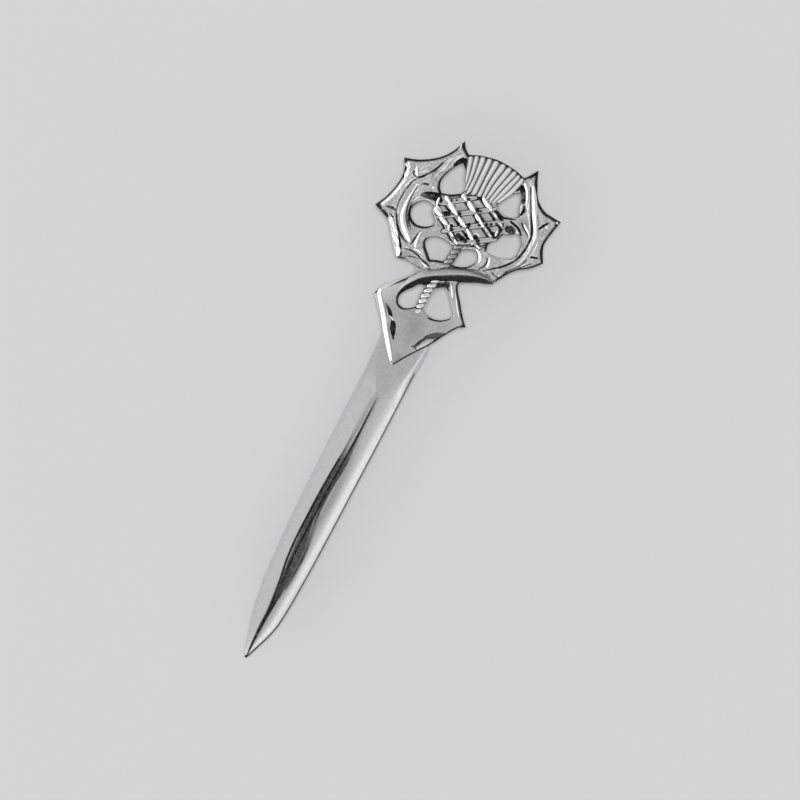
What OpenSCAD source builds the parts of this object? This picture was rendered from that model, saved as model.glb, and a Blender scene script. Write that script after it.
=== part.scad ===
// Kilt pin: a flat-backed cast sword with a pierced thistle head, and the plain pin behind it
// It lies face up. +Y runs from the blade's point to the head, and +Z is the face.

/* [Blade] */
// Length of the blade, from its point to its end under the hilt
blade_l = 61; // [50:1:80]
// Width of the blade where its edges run level
blade_w = 7.7; // [6:0.1:9]
// Thickness of the blade along its ridge
blade_t = 2.2; // [1.8:0.1:3]
// Thickness of the blade along its edges
blade_edge = 0.9; // [0.6:0.1:1.4]

/* [Hilt] */
// Width of the hilt from corner to corner
hilt_w = 16.4; // [13:0.2:20]
// Height of the hilt, from its low point to the ribbon
hilt_h = 16.5; // [13:0.5:22]
// How far the hilt reaches down over the blade
hilt_lap = 5.5; // [4:0.5:8]
// Thickness of the hilt plate
hilt_t = 2; // [1.6:0.1:2.8]
// Height of the hilt's rims above its plate
rim_rise = 0.8; // [0.4:0.1:1.2]
// Depth of the two recesses beside the rims
recess_deep = 0.9; // [0.4:0.1:1.2]

/* [Head] */
// Width of the head from thorn to thorn
head_w = 30; // [24:0.5:38]
// Height of the head, from the ribbon to its highest thorn
head_h = 24.4; // [20:0.2:30]
// Thickness of the leaves
leaf_t = 1.8; // [1.4:0.1:2.6]
// Height of the leaves' ribs above the leaf
vein_rise = 0.7; // [0.3:0.1:1.2]
// Height of the ribbon's crest above the casting's back
ribbon_t = 3.2; // [2.6:0.1:4]

/* [Thistle] */
// Thickness of the bulb at its edge
bulb_edge = 2.2; // [1.8:0.1:3]
// Height of the bulb's dome above its edge
bulb_rise = 1.1; // [0.6:0.1:1.8]
// Height of the bars between the bulb's scales
bar_rise = 0.4; // [0.2:0.1:0.7]
// Thickness of the tuft's plate
tuft_t = 1.9; // [1.5:0.1:2.6]
// Height of the tuft's ribs above its plate
tuft_rise = 0.6; // [0.3:0.1:1]
// Number of ribs in the tuft
tuft_ribs = 11; // [9:1:13]
// Diameter of the twisted stem
stem_d = 1.5; // [1.2:0.1:1.9]
// Height of the stem's middle above the casting's back
stem_mid = 1.4; // [1:0.1:1.6]
// Number of full turns in the twisted stem
stem_turns = 3; // [1:0.5:4]

/* [Pin behind] */
// Diameter of the needle
needle_d = 1.1; // [0.8:0.1:1.4]
// Clear height between the needle and the casting, for cloth
cloth_gap = 4.6; // [4.4:0.1:8]
// Height of the needle's underside above the table
needle_lift = 0.5; // [0.2:0.1:1.5]
// Width of the hinge foot and of the catch
foot_w = 5; // [4:0.1:5.6]
// Length of the hinge foot along the pin
foot_l = 2.6; // [2:0.1:3]
// Length of the catch along the pin
catch_l = 3; // [2:0.1:5]
// Distance from the blade's point to the middle of the catch
catch_y = 14; // [12:0.5:22]
// How far the needle's point stands out past the catch
point_l = 2.5; // [1.5:0.1:4]
// Gap between the casting's back and what stands behind it
seat_gap = 0.1; // [0.05:0.05:0.3]

/* [Hidden] */
// Points made along each stretch of an outline, and of a raised rib
OUTLINE_STEPS = 3;
RIB_STEPS = 2;
// A cut starts this far outside what it cuts, and raised work this far above the casting's back
PAST = 0.5;
ROOT = 0.4;
// A rib's sides start this far under the surface that it stands on
SINK = 0.1;

// Where the hilt and the head begin along the pin, from the blade's point
hilt_y = blade_l - hilt_lap;
head_y = hilt_y + hilt_h;

// The tables below are in these units: 16.4ths and 16.5ths of the hilt, and 30ths and 24.4ths of the head
hilt_unit = [hilt_w / 16.4, hilt_h / 16.5];
head_unit = [head_w / 30, head_h / 24.4];

// Blade: share of its length, then left and right half widths and the left and right ends of its flat crest, all as
// shares of half the width, then the crest's height as a share from the edge's thickness to the ridge's
BLADE = [
    [0.000, 0.02, 0.07, 0.01, 0.04, 0.10],
    [0.015, 0.10, 0.17, 0.01, 0.03, 0.35],
    [0.040, 0.22, 0.32, 0.02, 0.04, 0.60],
    [0.075, 0.38, 0.52, 0.02, 0.06, 0.80],
    [0.115, 0.55, 0.68, 0.02, 0.08, 0.92],
    [0.165, 0.68, 0.77, 0.06, 0.10, 1.00],
    [0.230, 0.79, 0.82, 0.10, 0.12, 1.00],
    [0.310, 0.88, 0.87, 0.12, 0.12, 1.00],
    [0.430, 0.95, 0.91, 0.12, 0.05, 1.00],
    [0.560, 0.98, 0.94, 0.10, 0.03, 1.00],
    [0.720, 1.00, 0.98, 0.04, 0.03, 0.95],
    [0.810, 1.00, 0.99, 0.12, 0.10, 0.88],
    [0.900, 1.00, 1.00, 0.75, 0.66, 0.80],
    [1.000, 1.08, 1.04, 0.90, 0.88, 0.80],
];

// Outlines: x, y and 1 where the point is a corner
HILT = [
    [-0.9, 0.4, 1], [-0.2, 0.1, 1], [1.3, 2.5, 0], [2.6, 4.3, 0], [4.0, 6.3, 0], [5.5, 8.9, 0], [6.8, 10.8, 0],
    [7.95, 11.5, 1], [6.6, 13.0, 0], [5.0, 15.1, 0], [4.1, 16.2, 0], [3.5, 17.3, 1], [3.7, 18.2, 1], [0.5, 17.6, 1],
    [-2.5, 17.0, 1], [-4.1, 16.9, 1], [-4.3, 15.5, 0], [-5.1, 14.1, 0], [-6.6, 12.5, 0], [-7.9, 11.1, 0],
    [-8.45, 9.8, 0], [-7.9, 8.95, 0], [-6.9, 7.8, 0], [-5.5, 6.2, 0], [-4.2, 4.4, 0], [-2.6, 2.6, 0],
];
// The stem crosses this opening and parts it in two
HILT_OPENING = [
    [-1.3, 14.8, 1], [-2.5, 14.4, 0], [-3.2, 13.4, 0], [-4.2, 12.3, 0], [-4.55, 11.1, 0], [-4.2, 10.1, 0],
    [-3.2, 9.65, 0], [-2.2, 10.0, 0], [-1.3, 10.7, 0], [-0.5, 10.9, 0], [0.4, 10.7, 0], [1.3, 10.3, 0],
    [2.6, 10.3, 0], [3.9, 10.8, 0], [4.9, 11.7, 0], [5.05, 12.5, 0], [4.2, 13.6, 0], [3.2, 14.8, 0],
    [2.4, 15.8, 0], [1.5, 15.9, 0], [0.7, 15.3, 0], [-0.4, 14.9, 0],
];
HILT_RECESSES = [
    [[-5.9, 8.8, 1], [-4.5, 8.1, 0], [-3.3, 7.2, 0], [-2.4, 5.6, 0], [-1.95, 4.4, 1], [-2.6, 4.5, 0],
     [-3.7, 6.0, 0], [-4.8, 7.4, 0]],
    [[5.0, 8.75, 1], [3.9, 8.4, 0], [2.9, 7.6, 0], [2.2, 6.6, 0], [1.9, 5.6, 0], [1.4, 4.9, 1], [2.1, 4.75, 0],
     [2.8, 5.6, 0], [3.6, 6.9, 0], [4.3, 7.9, 0]],
];
HEAD = [
    [-8.0, 0.3, 1], [-9.25, 1.75, 0], [-10.75, 3.6, 0], [-12.0, 5.2, 0], [-13.7, 6.1, 0], [-15.25, 6.65, 1],
    [-14.1, 9.1, 0], [-13.4, 12.1, 0], [-13.6, 14.4, 0], [-14.5, 16.0, 1], [-12.0, 16.9, 0], [-9.3, 18.65, 0],
    [-7.6, 20.7, 0], [-6.53, 23.2, 1], [-5.9, 22.2, 0], [-4.9, 21.4, 1], [-3.0, 22.2, 0], [0.0, 22.85, 0],
    [3.0, 22.7, 0], [5.3, 22.15, 1], [5.95, 22.95, 0], [6.85, 24.4, 1], [7.9, 22.0, 0], [9.1, 20.0, 0],
    [10.9, 18.7, 0], [12.7, 18.4, 0], [14.25, 18.3, 1], [13.75, 16.0, 0], [13.5, 13.3, 0], [14.75, 10.65, 1],
    [13.1, 8.9, 0], [11.4, 7.7, 0], [10.2, 6.3, 0], [8.9, 4.2, 1], [8.0, 3.6, 1], [5.0, 2.6, 0], [3.0, 1.6, 1],
    [-1.0, 0.2, 1], [-4.3, 0.6, 1], [-6.3, 0.7, 0],
];
HEAD_HOLES = [
    [[-5.15, 19.8, 1], [-6.0, 18.7, 0], [-6.7, 17.2, 0], [-7.1, 15.7, 0], [-6.9, 14.5, 0], [-6.1, 13.5, 1],
     [-4.6, 14.0, 0], [-3.0, 15.0, 1], [-2.65, 15.9, 0], [-3.0, 17.0, 0], [-3.7, 18.2, 0], [-4.4, 19.1, 0]],
    [[-6.2, 11.1, 1], [-7.9, 11.2, 0], [-9.0, 10.2, 0], [-9.45, 8.9, 0], [-8.9, 7.6, 0], [-7.6, 6.85, 0],
     [-6.1, 7.1, 0], [-5.1, 7.8, 0], [-4.75, 8.6, 0], [-5.4, 9.4, 0], [-6.15, 10.1, 0]],
    // This one the stem crosses, and parts in two
    [[-4.8, 5.1, 0], [-4.5, 5.9, 0], [-3.5, 6.6, 0], [-2.0, 6.8, 0], [-0.6, 6.5, 0], [0.6, 6.4, 0], [1.5, 6.6, 0],
     [2.3, 7.0, 0], [3.1, 7.35, 0], [3.9, 7.2, 0], [4.5, 6.3, 0], [4.4, 5.5, 0], [3.6, 4.4, 0], [2.6, 3.8, 0],
     [1.6, 3.5, 0], [0.5, 3.4, 0], [-0.5, 3.3, 0], [-1.8, 2.9, 0], [-2.7, 2.6, 0], [-3.5, 3.3, 0], [-4.4, 4.2, 0]],
    [[6.0, 10.7, 1], [5.2, 9.9, 0], [4.95, 9.1, 0], [5.2, 8.3, 0], [5.8, 7.95, 0], [7.0, 8.0, 0], [8.5, 8.4, 0],
     [9.7, 9.1, 0], [10.15, 10.3, 0], [10.0, 11.8, 0], [9.5, 12.8, 0], [8.7, 13.3, 0], [8.1, 13.1, 1],
     [7.6, 12.5, 0], [6.6, 12.2, 0], [6.3, 11.6, 0]],
    [[6.0, 19.8, 1], [5.0, 19.1, 0], [4.4, 18.5, 0], [3.7, 17.5, 0], [3.35, 16.2, 0], [4.0, 15.4, 0],
     [5.3, 15.0, 0], [6.7, 15.3, 0], [7.5, 16.1, 1], [6.95, 17.0, 0], [6.6, 18.4, 0]],
];
BULB = [
    [-6.0, 12.8, 1], [-5.95, 10.7, 0], [-5.15, 9.65, 0], [-3.9, 8.55, 0], [-3.0, 7.6, 0], [-1.9, 7.1, 0],
    [-0.5, 6.9, 0], [0.9, 7.1, 0], [2.4, 7.6, 0], [3.6, 8.1, 0], [4.5, 8.8, 0], [5.0, 10.1, 0], [5.75, 10.9, 0],
    [6.0, 12.0, 0], [6.0, 13.2, 0], [5.0, 14.4, 0], [3.2, 15.2, 0], [0.6, 15.9, 0], [-1.3, 15.5, 0],
    [-2.9, 14.8, 0], [-4.5, 13.8, 0],
];

// Raised ribs: x, y, width, and height as a share of the rib's rise
HILT_RIMS = [
    [[-7.6, 11.2, 0.4, 0.3], [-8.0, 9.9, 0.7, 1], [-7.2, 8.8, 1.0, 1], [-5.6, 6.9, 1.1, 1], [-3.9, 4.9, 1.1, 1],
     [-2.2, 2.8, 1.0, 1], [-0.8, 0.8, 0.5, 0.6]],
    [[5.3, 9.0, 0.4, 0.4], [4.2, 7.1, 0.6, 0.8], [2.9, 5.0, 0.7, 0.8], [1.5, 3.1, 0.6, 0.7], [0.3, 1.2, 0.4, 0.4]],
];
LEAF_RIBS = [
    // Left leaf: its main rib, its low edge, the strap beside the stem and two veins to thorns
    [[-7.2, 3.9, 0.6, 0.6], [-8.6, 4.6, 1.0, 1], [-9.9, 5.9, 1.2, 1], [-10.7, 7.6, 1.1, 1], [-10.75, 9.6, 0.8, 1],
     [-10.4, 12.4, 0.6, 0.9], [-9.5, 15.0, 0.5, 0.7], [-8.1, 18.0, 0.5, 0.6], [-6.8, 22.0, 0.3, 0.3]],
    [[-12.9, 6.4, 0.4, 0.2], [-11.4, 5.1, 0.8, 0.6], [-9.7, 3.15, 0.9, 0.6], [-8.1, 1.0, 0.7, 0.5]],
    [[-6.1, 6.1, 0.4, 0.4], [-6.3, 4.8, 0.6, 0.9], [-6.1, 3.3, 0.5, 0.5]],
    [[-10.9, 14.0, 0.4, 0.4], [-11.6, 15.3, 0.6, 0.8], [-13.6, 15.9, 0.3, 0.2]],
    [[-11.1, 8.2, 0.5, 0.5], [-13.1, 7.6, 0.5, 0.6], [-14.7, 6.9, 0.3, 0.2]],
    // Right leaf: its main rib, its inner curl, a vein, the strap and the low thorn
    [[7.2, 22.0, 0.3, 0.3], [8.2, 20.4, 0.6, 0.9], [9.6, 18.0, 0.8, 1], [10.8, 15.9, 0.8, 1], [11.7, 14.0, 0.7, 1],
     [12.0, 12.0, 0.6, 0.9], [11.8, 10.0, 0.5, 0.8], [11.0, 7.9, 0.5, 0.6], [9.4, 5.1, 0.4, 0.4]],
    [[5.5, 21.6, 0.4, 0.5], [6.4, 20.9, 0.5, 0.8], [7.1, 19.8, 0.5, 0.8], [7.5, 18.5, 0.4, 0.4]],
    [[8.6, 15.1, 0.4, 0.3], [9.6, 14.7, 0.6, 0.7], [10.5, 13.9, 0.4, 0.3]],
    [[6.5, 7.2, 0.5, 0.6], [6.5, 6.3, 0.6, 0.8], [6.3, 5.4, 0.4, 0.4]],
    [[6.7, 5.1, 0.5, 0.5], [7.8, 4.9, 0.6, 0.8], [8.6, 4.4, 0.4, 0.4]],
];
RIBBON = [
    [-6.3, -5.3, 0.8, 0], [-5.3, -3.9, 1.4, 0.3], [-4.2, -2.4, 1.8, 0.8], [-2.9, -0.9, 1.9, 1], [-1.2, 0.7, 2.0, 1],
    [0.8, 1.8, 2.2, 1], [3.0, 2.7, 2.1, 1], [5.0, 3.3, 1.9, 0.9], [7.0, 3.6, 1.4, 0.6], [8.6, 3.7, 0.4, 0],
];
// The stem's middle line: x and y, from the hilt plate up to the bulb
STEM = [[-0.5, -7.0], [-0.65, -4.6], [-0.65, -2.6], [-0.4, -0.6], [0.0, 2.8], [0.25, 5.0], [0.6, 7.6]];

// Bars of the bulb: slope in degrees, lowest crossing of the head's middle line, pitch, width, number, and share of
// the bars' rise
BARS = [
    [-31, 7.1, 3.05, 1.0, 4, 1],
    [35, 7.0, 2.95, 0.7, 4, 0.6],
];
// A bar's section: across, as a share of half its width, and up, as a share of its rise
BAR_SECTION = [[-1, 0], [-0.5, 1], [0.5, 1], [1, 0]];
// How far the lattice runs on past its first and last bar, as a share of their pitch
BAR_MARGIN = 0.6;
// The bulb's middle, and half its width and height
BULB_MID = [0, 11.4];
BULB_HALF = [6.7, 5.0];
// The tuft's fan of ribs: its middle, inner and outer radius, and half its angle
TUFT_MID = [0.3, 8.6];
TUFT_IN = 6.9;
TUFT_OUT = 14.1;
TUFT_ANGLE = 20.5;
// Share of each step that a rib of the tuft fills
TUFT_FILL = 0.62;
// The dark round boss at the bulb's right end: x, y and diameter
BOSS = [7.1, 13.2, 2.0];
// Inner and outer radius of the stem's two strands as shares of its radius, and its sides and rings
STRAND = [0.72, 1.0];
STEM_SIDES = 10;
STEM_RINGS = 32;

back_z = needle_lift + needle_d + cloth_gap;
needle_z = needle_lift + needle_d / 2;
// The needle runs behind the stem, and the foot stands behind the ribbon
needle_x = STEM[2][0] * head_unit[0] + 0.05;
foot_y = head_y + 1.2 * head_unit[1];
// Middle of the part's outline, which is the origin
middle_x = (min([for (p = HEAD) p[0]]) + max([for (p = HEAD) p[0]])) / 2 * head_unit[0];
middle_y = (head_y + max([for (p = HEAD) p[1]]) * head_unit[1]) / 2;

// Point at share t between a and b, leaving along u and arriving along v
function glide(a, b, u, v, t) =
    let (s = t * t, c = s * t)
    (2 * c - 3 * s + 1) * a + (c - 2 * s + t) * u + (3 * s - 2 * c) * b + (c - s) * v;

// Flat part of a table's row, in millimetres
function place(row, unit) = [row[0] * unit[0], row[1] * unit[1]];

// Closed outline through a table's rows, smooth apart from its corners
function outline(rows, unit) =
    let (n = len(rows))
    [for (i = [0:n - 1])
        let (
            a = rows[i], b = rows[(i + 1) % n],
            pa = place(a, unit), pb = place(b, unit),
            ua = a[2] == 1 ? pb - pa : (pb - place(rows[(i + n - 1) % n], unit)) / 2,
            ub = b[2] == 1 ? pb - pa : (place(rows[(i + 2) % n], unit) - pa) / 2,
            steps = a[2] == 1 && b[2] == 1 ? 1 : OUTLINE_STEPS
        )
        for (k = [0:steps - 1]) glide(pa, pb, ua, ub, k / steps)];

// Open line through rows of any length, smooth all along
function line(rows, steps) =
    let (n = len(rows))
    concat([for (i = [0:n - 2])
        let (
            before = rows[max(i - 1, 0)],
            after = rows[min(i + 2, n - 1)],
            ua = (rows[i + 1] - before) / (i == 0 ? 1 : 2),
            ub = (after - rows[i]) / (i == n - 2 ? 1 : 2)
        )
        for (k = [0:steps - 1]) glide(rows[i], rows[i + 1], ua, ub, k / steps)], [rows[n - 1]]);

// Direction of a line of points at point i, as a unit vector
function heading(points, i) =
    let (
        d = points[min(i + 1, len(points) - 1)] - points[max(i - 1, 0)],
        flat = [d[0], d[1]]
    )
    flat / norm(flat);

// Faces of a solid made of rings with the same number of points
function ring_faces(rings, sides) = concat(
    [[for (j = [0:sides - 1]) sides - 1 - j]],
    [for (i = [0:rings - 2], j = [0:sides - 1]) let (k = (j + 1) % sides)
        [i * sides + j, i * sides + k, (i + 1) * sides + k, (i + 1) * sides + j]],
    [[for (j = [0:sides - 1]) (rings - 1) * sides + j]]);

// A block whose top runs through a grid of points, and whose underside is level
module relief(grid, under) {
    rows = len(grid);
    columns = len(grid[0]);
    all = rows * columns;
    top = [for (row = grid) for (p = row) p];
    faces = concat(
        [for (i = [0:rows - 2], j = [0:columns - 2]) let (k = i * columns + j) [k, k + 1, k + columns]],
        [for (i = [0:rows - 2], j = [0:columns - 2]) let (k = i * columns + j) [k + 1, k + columns + 1, k + columns]],
        [for (i = [0:rows - 2], j = [0:columns - 2]) let (k = all + i * columns + j)
            [k, k + columns, k + columns + 1, k + 1]],
        [for (j = [0:columns - 2]) [j + 1, j, j + all, j + all + 1]],
        [for (j = [0:columns - 2]) let (k = all - columns + j) [k, k + 1, k + all + 1, k + all]],
        [for (i = [0:rows - 2]) let (k = i * columns) [k, k + columns, k + columns + all, k + all]],
        [for (i = [0:rows - 2]) let (k = (i + 1) * columns - 1) [k + columns, k, k + all, k + columns + all]]);
    polyhedron(points = concat(top, [for (p = top) [p[0], p[1], under]]), faces = faces, convexity = 8);
}

// A ridge with a round crest: rows of x, y, width, and the heights of its low sides and its crest
module ridge(rows, steps) {
    points = line(rows, steps);
    rings = [for (i = [0:len(points) - 1])
        let (
            p = points[i], h = heading(points, i), side = [h[1], -h[0]],
            shoulder = p[3] + 0.8 * (p[4] - p[3]),
            section = [[1, ROOT], [1, p[3]], [0.55, shoulder], [0, p[4]], [-0.55, shoulder], [-1, p[3]], [-1, ROOT]]
        )
        for (s = section) [p[0] + side[0] * s[0] * p[2] / 2, p[1] + side[1] * s[0] * p[2] / 2, s[1]]];
    polyhedron(points = rings, faces = ring_faces(len(points), 7), convexity = 4);
}

// A rib on a flat plate: rows of x, y, width and share of its rise
module rib(rows, unit, foot, rise) {
    ridge([for (r = rows) [r[0] * unit[0], r[1] * unit[1], r[2] * unit[0], foot - SINK, foot + r[3] * rise]], RIB_STEPS);
}

// How far out a point of the bulb lies, from 0 in its middle to 1 at its rim
function bulb_reach(p) = norm([(p[0] / head_unit[0] - BULB_MID[0]) / BULB_HALF[0],
                               (p[1] / head_unit[1] - BULB_MID[1]) / BULB_HALF[1]]);

// Height of the bulb's dome above a point
function bulb_z(p) = bulb_edge + bulb_rise * sqrt(max(0, 1 - pow(bulb_reach(p), 2)));

// Lines across one family of bars: how far up the head's middle line each crosses, and its share of the bars' rise
function bar_lines(b) =
    let (half = b[3] / cos(b[0]) / 2)
    concat([[b[1] - BAR_MARGIN * b[2], 0]],
        [for (i = [0:b[4] - 1])
            let (c = b[1] + i * b[2])
            for (s = concat([for (q = BAR_SECTION) [c + q[0] * half, q[1] * b[5]]],
                            [[c + (i < b[4] - 1 ? 0.5 : BAR_MARGIN) * b[2], 0]]))
                s]);

// Where a line of one family meets a line of the other
function bar_meet(a, b) =
    let (x = (b - a) / (tan(BARS[0][0]) - tan(BARS[1][0])))
    [x * head_unit[0], (a + x * tan(BARS[0][0])) * head_unit[1]];

module plate(rows, unit, thick) {
    linear_extrude(thick) polygon(outline(rows, unit));
}

module blade() {
    n = len(BLADE);
    rings = [for (row = BLADE)
        let (
            y = row[0] * blade_l, half = blade_w / 2,
            top = blade_edge + (blade_t - blade_edge) * row[5]
        )
        for (s = [[row[2], 0], [row[2], blade_edge], [row[4], top], [-row[3], top], [-row[1], blade_edge],
                  [-row[1], 0]])
            [s[0] * half, y, s[1]]];
    polyhedron(points = rings, faces = ring_faces(n, 6), convexity = 4);
}

module hilt() {
    translate([0, hilt_y, 0]) {
        difference() {
            plate(HILT, hilt_unit, hilt_t);
            translate([0, 0, -PAST]) plate(HILT_OPENING, hilt_unit, hilt_t + 2 * PAST);
            for (recess = HILT_RECESSES)
                translate([0, 0, hilt_t - recess_deep]) plate(recess, hilt_unit, recess_deep + PAST);
        }
        for (rim = HILT_RIMS) rib(rim, hilt_unit, hilt_t, rim_rise);
    }
}

module ribbon() {
    translate([0, head_y, 0]) rib(RIBBON, head_unit, hilt_t, ribbon_t - hilt_t);
}

// Two strands twisted round each other, as one lobed solid
module stem() {
    path = line([for (p = STEM) place(p, head_unit)], STEM_RINGS / 8);
    n = len(path);
    rings = [for (i = [0:n - 1])
        let (h = heading(path, i), side = [h[1], -h[0]], turn = 360 * stem_turns * i / (n - 1))
        for (j = [0:STEM_SIDES - 1])
            let (
                a = 360 * j / STEM_SIDES,
                lobe = STRAND[0] + (STRAND[1] - STRAND[0]) * pow(cos(a - turn), 2),
                r = stem_d / 2 * lobe
            )
            [path[i][0] + side[0] * r * cos(a), path[i][1] + side[1] * r * cos(a), stem_mid + r * sin(a)]];
    translate([0, head_y, 0])
        polyhedron(points = rings, faces = ring_faces(n, STEM_SIDES), convexity = 6);
}

module leaves() {
    translate([0, head_y, 0]) {
        difference() {
            plate(HEAD, head_unit, leaf_t);
            for (hole = HEAD_HOLES)
                translate([0, 0, -PAST]) plate(hole, head_unit, leaf_t + 2 * PAST);
        }
        for (row = LEAF_RIBS) rib(row, head_unit, leaf_t, vein_rise);
    }
}

// Scales between two families of crossing bars, on a dome that the bulb's outline cuts
module bulb() {
    grid = [for (a = bar_lines(BARS[0])) [for (b = bar_lines(BARS[1]))
        let (p = bar_meet(a[0], b[0]))
        [p[0], p[1], bulb_z(p) + bar_rise * max(a[1], b[1])]]];
    translate([0, head_y, 0]) {
        intersection() {
            relief(grid, ROOT);
            linear_extrude(bulb_edge + bulb_rise + bar_rise + PAST) polygon(outline(BULB, head_unit));
        }
        translate([BOSS[0] * head_unit[0], BOSS[1] * head_unit[1], ROOT])
            cylinder(h = leaf_t + vein_rise - ROOT, d1 = BOSS[2] * head_unit[0], d2 = BOSS[2] * head_unit[0] / 2, $fn = 12);
    }
}

// A fan of ribs from the bulb to the head's top edge, on a plate of the same spread
module tuft() {
    step = 2 * TUFT_ANGLE / (tuft_ribs - 1);
    wide = TUFT_ANGLE + step / 2;
    translate([0, head_y, 0]) {
        intersection() {
            linear_extrude(tuft_t + tuft_rise + PAST)
                polygon(outline(HEAD, head_unit));
            union() {
                translate([0, 0, ROOT])
                    linear_extrude(tuft_t - ROOT)
                    polygon([for (s = [[TUFT_IN, -wide], [TUFT_OUT + PAST, -wide], [TUFT_OUT + PAST, 0],
                                       [TUFT_OUT + PAST, wide], [TUFT_IN, wide]])
                        fan(s[0], s[1])]);
                for (i = [0:tuft_ribs - 1])
                    tuft_rib(-TUFT_ANGLE + i * step, step);
            }
        }
    }
}

// Point of the tuft at a radius and an angle from straight up
function fan(r, a) =
    [(TUFT_MID[0] + r * sin(a)) * head_unit[0], (TUFT_MID[1] + r * cos(a)) * head_unit[1]];

// One rib of the tuft, wider at its outer end
module tuft_rib(a, step) {
    wide = TUFT_FILL * PI * step / 180 * head_unit[0];
    hull()
        for (r = [TUFT_IN, TUFT_OUT + PAST])
            translate([fan(r, a)[0], fan(r, a)[1], ROOT])
                cylinder(h = tuft_t + tuft_rise - ROOT, d1 = 1.3 * wide * r, d2 = 0.4 * wide * r, $fn = 8);
}

module casting() {
    color([0.72, 0.72, 0.73])
        translate([-middle_x, -middle_y, back_z])
            union() {
                blade();
                hilt();
                stem();
                ribbon();
                leaves();
                bulb();
                tuft();
            }
}

// The foot, the needle and the catch, one plain solid
module pin_back() {
    tall = back_z - seat_gap;
    needle_far = catch_y - catch_l / 2 - point_l;
    color([0.62, 0.63, 0.65])
        translate([needle_x - middle_x, -middle_y, 0])
            union() {
                translate([-foot_w / 2, foot_y - foot_l / 2, 0])
                    cube([foot_w, foot_l, tall]);
                difference() {
                    translate([-foot_w / 2, catch_y - catch_l / 2, 0])
                        cube([foot_w, catch_l, tall]);
                    // The mouth that the needle slides out of
                    translate([-foot_w / 2 - PAST, catch_y - catch_l / 2 - PAST, needle_lift - seat_gap])
                        cube([foot_w / 2 + PAST, catch_l + 2 * PAST, needle_d + 2 * seat_gap]);
                }
                translate([0, needle_far + point_l / 2, needle_z])
                    rotate([-90, 0, 0])
                        cylinder(h = foot_y - needle_far - point_l / 2, d = needle_d, $fn = 48);
                translate([0, needle_far, needle_z])
                    rotate([-90, 0, 0])
                        cylinder(h = point_l / 2, d1 = needle_d / 5, d2 = needle_d, $fn = 48);
            }
}

casting();
pin_back();
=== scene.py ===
"""Kilt pin shaped as a small sword with a pierced thistle head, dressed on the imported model."""
import math
from functools import partial

import bmesh
import bpy
import numpy as np
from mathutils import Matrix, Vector, geometry, kdtree


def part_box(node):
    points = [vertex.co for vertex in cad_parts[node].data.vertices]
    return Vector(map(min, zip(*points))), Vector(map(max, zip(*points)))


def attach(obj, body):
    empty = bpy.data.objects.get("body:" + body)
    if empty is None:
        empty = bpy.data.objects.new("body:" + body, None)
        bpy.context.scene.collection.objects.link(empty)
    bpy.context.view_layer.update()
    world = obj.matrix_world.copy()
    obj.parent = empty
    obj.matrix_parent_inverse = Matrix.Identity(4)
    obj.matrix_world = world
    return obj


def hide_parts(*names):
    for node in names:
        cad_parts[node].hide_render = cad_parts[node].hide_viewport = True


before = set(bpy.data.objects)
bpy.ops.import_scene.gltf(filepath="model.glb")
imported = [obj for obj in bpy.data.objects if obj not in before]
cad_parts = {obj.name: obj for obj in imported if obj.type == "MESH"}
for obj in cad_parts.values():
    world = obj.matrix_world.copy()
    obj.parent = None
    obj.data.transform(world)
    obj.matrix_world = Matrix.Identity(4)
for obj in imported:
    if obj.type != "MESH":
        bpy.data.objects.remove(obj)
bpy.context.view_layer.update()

bl_info = {
    "name": "Kilt Pin",
    "version": (1, 0, 0),
    "blender": (4, 5, 0),
    "location": "3D View > Sidebar > Kilt Pin",
    "description": "Builds a cast kilt pin with a thistle head and the plain pin behind it",
    "category": "Add Mesh",
}

# The casting's box gives the scale of every table below. The tables are in millimetres: x to the right of
# the pin's middle line and y up from the blade's point, as the face is seen.
LOW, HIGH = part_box("casting")
BACK_LOW, BACK_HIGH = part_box("pin_back")
LEFT, WIDE, LONG = -15.25, 30.0, 96.4
PER_METRE = 1000
SCALE_X = (HIGH.x - LOW.x) / WIDE
SCALE_Y = (HIGH.y - LOW.y) / LONG

# Outlines: x, y and 1 where the point is a corner
HILT = [
    (-0.9, 55.9, 1), (-0.2, 55.6, 1), (1.3, 58.0, 0), (2.6, 59.8, 0), (4.0, 61.8, 0), (5.5, 64.4, 0),
    (6.8, 66.3, 0), (7.95, 67.0, 1), (6.6, 68.5, 0), (5.0, 70.6, 0), (4.1, 71.7, 0), (3.5, 72.8, 1),
    (3.7, 73.7, 1), (0.5, 73.1, 1), (-2.5, 72.5, 1), (-4.1, 72.4, 1), (-4.3, 71.0, 0), (-5.1, 69.6, 0),
    (-6.6, 68.0, 0), (-7.9, 66.6, 0), (-8.45, 65.3, 0), (-7.9, 64.45, 0), (-6.9, 63.3, 0), (-5.5, 61.7, 0),
    (-4.2, 59.9, 0), (-2.6, 58.1, 0),
]
HILT_OPENING = [
    (-1.3, 70.3, 1), (-2.5, 69.9, 0), (-3.2, 68.9, 0), (-4.2, 67.8, 0), (-4.55, 66.6, 0), (-4.2, 65.6, 0),
    (-3.2, 65.15, 0), (-2.2, 65.5, 0), (-1.3, 66.2, 0), (-0.5, 66.4, 0), (0.4, 66.2, 0), (1.3, 65.8, 0),
    (2.6, 65.8, 0), (3.9, 66.3, 0), (4.9, 67.2, 0), (5.05, 68.0, 0), (4.2, 69.1, 0), (3.2, 70.3, 0),
    (2.4, 71.3, 0), (1.5, 71.4, 0), (0.7, 70.8, 0), (-0.4, 70.4, 0),
]
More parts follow.
